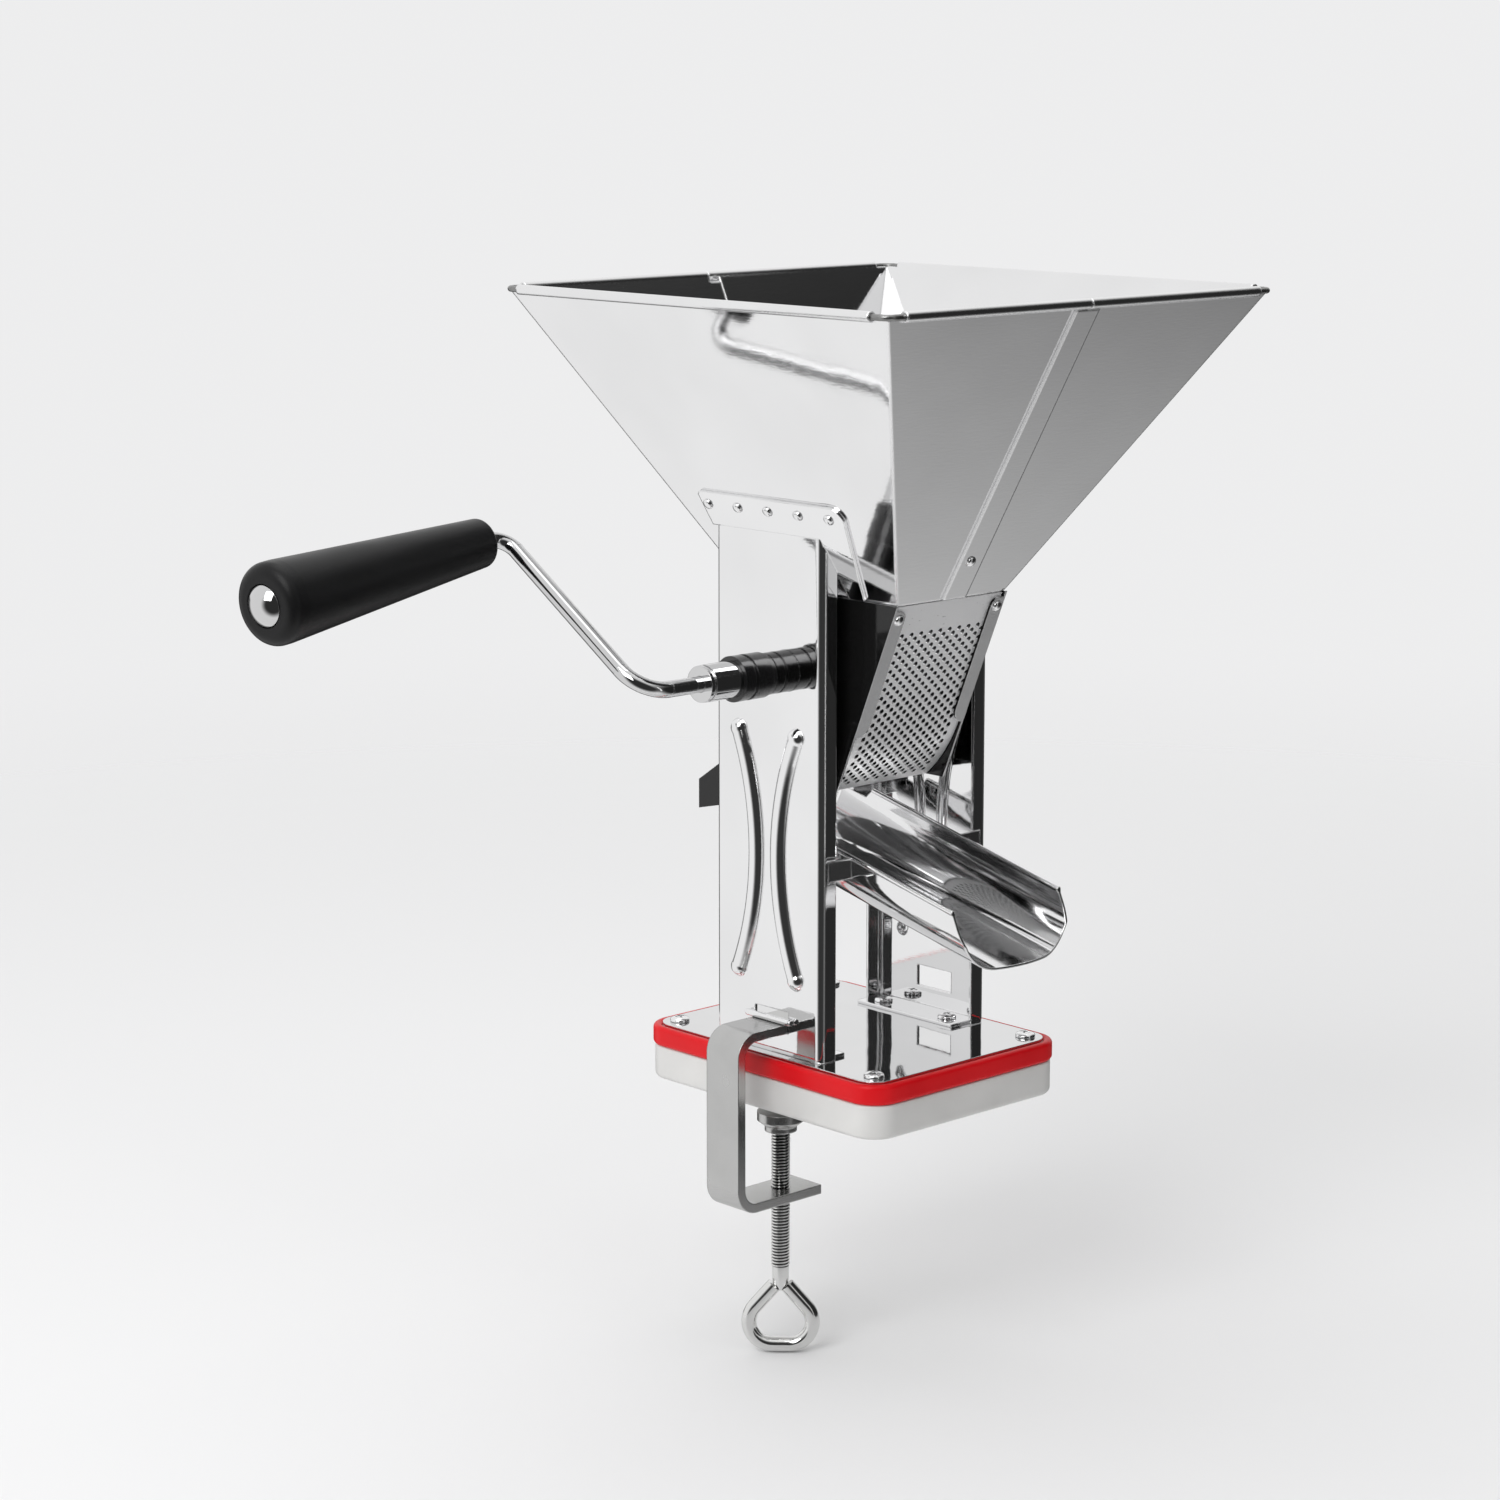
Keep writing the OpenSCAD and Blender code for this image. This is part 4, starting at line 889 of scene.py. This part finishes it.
class STRAINER_OT_hopper(Operator):
    """Rounds the folded corners of the hopper halves"""

    bl_idname = "strainer.hopper"
    bl_label = "Hopper corners"

    def execute(self, context):
        flat_angle, bend = math.radians(0.5), 1.6 * MM
        for node in ("hopper_left", "hopper_right"):
            bm = merged(node)
            bmesh.ops.dissolve_limit(bm, angle_limit=flat_angle, verts=bm.verts, edges=bm.edges)
            corners = [e for e in bm.edges if self.is_corner(e)]
            if not corners:
                raise RuntimeError(f"no folded corners found on {node}")
            bmesh.ops.bevel(bm, geom=corners, offset=bend, offset_type="OFFSET", segments=5,
                            profile=0.5, affect="EDGES", clamp_overlap=True)
            piece = node + "_sheet"
            new_piece(piece, even_shading(mesh_from(piece, bm)), "hopper", "machine",
                      node)
        return {"FINISHED"}

    def is_corner(self, edge):
        """A long sloping edge at a corner of the funnel."""
        shortest, least_slope = 40 * MM, 0.25
        along = edge.verts[1].co - edge.verts[0].co
        if along.length < shortest or len(edge.link_faces) != 2:
            return False
        slope = min(abs(c) for c in along.normalized())
        return slope > least_slope and edge.calc_face_angle(0.0) > SHARP_ANGLE


class STRAINER_OT_fasteners(Operator):
    """Sets domed rivets and cross-head screws on the places of the CAD ones"""

    bl_idname = "strainer.fasteners"
    bl_label = "Rivets and screws"

    def execute(self, context):
        s = context.scene.strainer_fasteners
        seed = context.scene.strainer_stage.seed
        rivet, screw = rivet_head(), screw_head()
        rivet_size = (s.rivet_width, s.rivet_rise)
        for node, piece, head, size in (
                ("flange_rivets", "flange_rivet_heads", rivet, rivet_size),
                ("seam_rivets", "seam_rivet_heads", rivet, rivet_size),
                ("housing_rivets", "housing_rivet_heads", rivet, rivet_size),
                ("plate_screws", "plate_screw_heads", screw, PLATE_SCREW),
                ("foot_screws", "foot_screw_heads", screw, FOOT_SCREW)):
            mesh = heads(piece, fastener_places(node), head, *size, "rivet", seed)
            new_piece(piece, mesh, "rivet", "machine", node)
        return {"FINISHED"}


class STRAINER_OT_clamp_screw(Operator):
    """Cuts the thread of the clamp screw and bends its eye"""

    bl_idname = "strainer.clamp_screw"
    bl_label = "Clamp screw"

    def execute(self, context):
        s = context.scene.strainer_fasteners
        low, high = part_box("clamp_screw")
        neck = low.z + EYE_HEIGHT
        bm = bmesh.new()
        self.thread(bm, high.z, s.thread_pitch, s.thread_depth)
        self.core(bm, neck, high.z, s.thread_pitch, s.thread_depth)
        self.eye(bm, neck)
        new_piece("threaded_screw", mesh_from("threaded_screw", bm), "thread", "screw",
                  "clamp_screw")
        return {"FINISHED"}

    def thread(self, bm, end, pitch, depth):
        """A helix of a pointed section, given as (share of the depth, share of the pitch)."""
        section = ((1.0, -0.46), (0.0, -0.14), (0.0, 0.14), (1.0, 0.46))
        start, steps = thread_start(), 28
        turns = int((end - start) / pitch)
        rings = []
        for k in range(turns * steps + 1):
            angle = math.tau * k / steps
            at = SCREW_AXIS + UP * (start + pitch * k / steps)
            out = Vector((math.cos(angle), math.sin(angle), 0))
            rings.append([
                bm.verts.new(at + out * (SCREW_RADIUS - depth * sunk) + UP * (pitch * along))
                for sunk, along in section])
        bridge(bm, rings)
        bm.faces.new(rings[0])
        bm.faces.new(rings[-1][::-1])

    def core(self, bm, neck, end, pitch, depth):
        """The core inside the thread, and the plain neck that tapers into the eye."""
        sunk, top_gap, taper, overlap = 0.9, 0.3 * MM, 0.8 * MM, 0.1 * MM
        radius = SCREW_RADIUS - depth * sunk
        start, top = thread_start() - pitch, end - top_gap
        add_revolved(bm, [(0, start), (radius, start), (radius, top), (0, top)],
                     SCREW_AXIS, UP)
        shoulder = neck + NECK_HEIGHT + overlap
        add_revolved(bm, [(0, neck - EYE_ROD * 0.35), (radius * 0.5, neck - EYE_ROD * 0.3),
                          (radius * 1.02, neck + taper), (radius * 1.04, shoulder),
                          (0, shoulder)], SCREW_AXIS, UP)

    def eye(self, bm, neck):
        """The rod bent round to an open eye, both ends under the neck."""
        half_gap = EYE_ROD * 0.42
        drop = EYE_HEIGHT - EYE_ROD / 2
        spread = half_gap + drop * math.tan(EYE_LEG_ANGLE)
        bend = ((spread - EYE_WIDTH / 2 + EYE_ROD / 2)
                / (math.tan((math.pi / 2 + EYE_LEG_ANGLE) / 2) - 1))
        across = Vector((math.cos(EYE_TURN), math.sin(EYE_TURN), 0))
        top = SCREW_AXIS + UP * neck
        corners = [top + across * half_gap, top + across * spread - UP * drop,
                   top - across * spread - UP * drop, top - across * half_gap]
        add_tube(bm, rounded_path(corners, bend, 24), EYE_ROD / 2, 24)


class STRAINER_OT_stage(Operator):
    """Sets the floor, the lights and the camera"""

    bl_idname = "strainer.stage"
    bl_label = "Stage"

    def execute(self, context):
        s = context.scene.strainer_stage
        self.floor(context, s)
        self.world(context, s)
        self.lights(context, s)
        self.camera(context, s)
        context.scene.view_settings.view_transform = "Standard"
        return {"FINISHED"}

    def floor(self, context, s):
        """Floor that keeps the shadow near the object and melts into the backdrop further out."""
        n = Nodes("studio_floor")
        n.set(Roughness=0.9, Base_Color=(*s.floor_color, 1.0))
        rays, far = n.add("ShaderNodeLightPath").outputs, n.length(n.place)
        seen = n.math("MULTIPLY", rays["Is Camera Ray"],
                      n.ranged(far, 0.0, 1.0, *SEEN_FADE, True))
        mirrored = n.math("MULTIPLY", rays["Is Glossy Ray"],
                          n.ranged(far, 0.0, 1.0, *MIRRORED_FADE, True))
        blend = n.add("ShaderNodeMixShader")
        n.link(n.math("ADD", seen, mirrored), blend.inputs["Fac"])
        n.link(n.shader.outputs["BSDF"], blend.inputs[1])
        n.link(n.add("ShaderNodeBsdfTransparent").outputs["BSDF"], blend.inputs[2])
        n.link(blend.outputs["Shader"], n.out.inputs["Surface"])
        bm = bmesh.new()
        corners = ((-1, -1), (1, -1), (1, 1), (-1, 1))
        bm.faces.new([bm.verts.new((x * FLOOR_REACH, y * FLOOR_REACH, s.floor_height))
                      for x, y in corners])
        mesh = bpy.data.meshes.new("studio_floor")
        bm.to_mesh(mesh)
        bm.free()
        mesh.materials.append(n.mat)
        obj = bpy.data.objects.new("studio_floor", mesh)
        context.scene.collection.objects.link(obj)

    def world(self, context, s):
        """Pale room with dark cards, which polished metal shows as dark bands."""
        world = bpy.data.worlds.new("studio_room")
        context.scene.world = world
        world.use_nodes = True
        n = Wiring(world.node_tree)
        place = n.add("ShaderNodeTexCoord").outputs["Generated"]
        a = s.azimuth
        right = (math.cos(a), math.sin(a), 0.0)
        front = (math.sin(a), -math.cos(a), 0.0)
        back = (-front[0], -front[1], 0.0)
        side_card = n.ranged(n.along(place, right), 1.0, 1.0 - s.dark_side, *SIDE_CARD, True)
        front_card = n.ranged(n.along(place, front), 1.0, 1.0 - s.dark_front, *FRONT_CARD, True)
        low = n.ranged(n.along(place, UP), s.dark_back, 0.0, *BACK_CARD_TOP, True)
        behind = n.ranged(n.along(place, back), 0.0, 1.0, *BACK_CARD, True)
        back_card = n.math("SUBTRACT", 1.0, n.math("MULTIPLY", low, behind))
        cards = n.math("MULTIPLY", n.math("MULTIPLY", side_card, front_card), back_card)
        out, mix = n.add("ShaderNodeOutputWorld"), n.add("ShaderNodeMixShader")
        room, seen = n.add("ShaderNodeBackground"), n.add("ShaderNodeBackground")
        room.inputs["Color"].default_value = (1.0, 1.0, 1.0, 1.0)
        seen.inputs["Strength"].default_value = 1.0
        seen.inputs["Color"].default_value = (*s.backdrop_color, 1.0)
        n.link(n.math("MULTIPLY", cards, s.room_light), room.inputs["Strength"])
        n.link(n.add("ShaderNodeLightPath").outputs["Is Camera Ray"], mix.inputs["Fac"])
        n.link(room.outputs["Background"], mix.inputs[1])
        n.link(seen.outputs["Background"], mix.inputs[2])
        n.link(mix.outputs["Shader"], out.inputs["Surface"])

    def lights(self, context, s):
        """Area lights, all aimed at the centre of the object."""
        for name, place, size, power in LIGHTS:
            light = bpy.data.lights.new(name, "AREA")
            light.shape = "RECTANGLE"
            light.size, light.size_y = size
            light.energy = getattr(s, power)
            obj = bpy.data.objects.new(name, light)
            obj.location = place
            obj.rotation_euler = (CENTRE - Vector(place)).to_track_quat("-Z", "Y").to_euler()
            context.scene.collection.objects.link(obj)

    def camera(self, context, s):
        """The photo's view, aimed a little beside the centre."""
        data = bpy.data.cameras.new("photo_camera")
        cam = bpy.data.objects.new("photo_camera", data)
        context.scene.collection.objects.link(cam)
        a, e = s.azimuth, s.elevation
        back = Vector((math.sin(a) * math.cos(e), -math.cos(a) * math.cos(e), math.sin(e)))
        right = Vector((math.cos(a), math.sin(a), 0))
        up = back.cross(right)
        aim = CENTRE + right * AIM_RIGHT + up * AIM_UP
        cam.location = aim + back * s.distance
        cam.rotation_euler = back.to_track_quat("Z", "Y").to_euler()
        data.sensor_width = SENSOR_WIDTH
        data.lens = SENSOR_WIDTH * FOCAL_SHARE
        data.shift_y = LENS_SHIFT
        context.scene.camera = cam


OPERATORS = (
    STRAINER_OT_finish_cad,
    STRAINER_OT_base,
    STRAINER_OT_hopper,
    STRAINER_OT_fasteners,
    STRAINER_OT_clamp_screw,
    STRAINER_OT_stage,
)


class STRAINER_PT_looks(Panel):
    """Sidebar with every step and every setting."""

    bl_label = "Strainer looks"
    bl_idname = "STRAINER_PT_looks"
    bl_space_type = "VIEW_3D"
    bl_region_type = "UI"
    bl_category = "Strainer"

    def draw(self, context):
        for operator in OPERATORS:
            self.layout.operator(operator.bl_idname)
        for name, group in SETTINGS:
            column = self.layout.column(heading=group.__name__)
            for key in group.__annotations__:
                column.prop(getattr(context.scene, name), key)


def register():
    """Registers the settings first, since the steps read them."""
    for name, group in SETTINGS:
        bpy.utils.register_class(group)
        setattr(bpy.types.Scene, name, PointerProperty(type=group))
    for cls in (*OPERATORS, STRAINER_PT_looks):
        bpy.utils.register_class(cls)


def unregister():
    """Takes everything off again, in reverse."""
    for cls in (STRAINER_PT_looks, *reversed(OPERATORS)):
        bpy.utils.unregister_class(cls)
    for name, group in reversed(SETTINGS):
        delattr(bpy.types.Scene, name)
        bpy.utils.unregister_class(group)


def main():
    """Runs every step in order."""
    register()
    for operator in OPERATORS:
        group, name = operator.bl_idname.split(".")
        getattr(getattr(bpy.ops, group), name)()


if __name__ == "__main__":
    main()
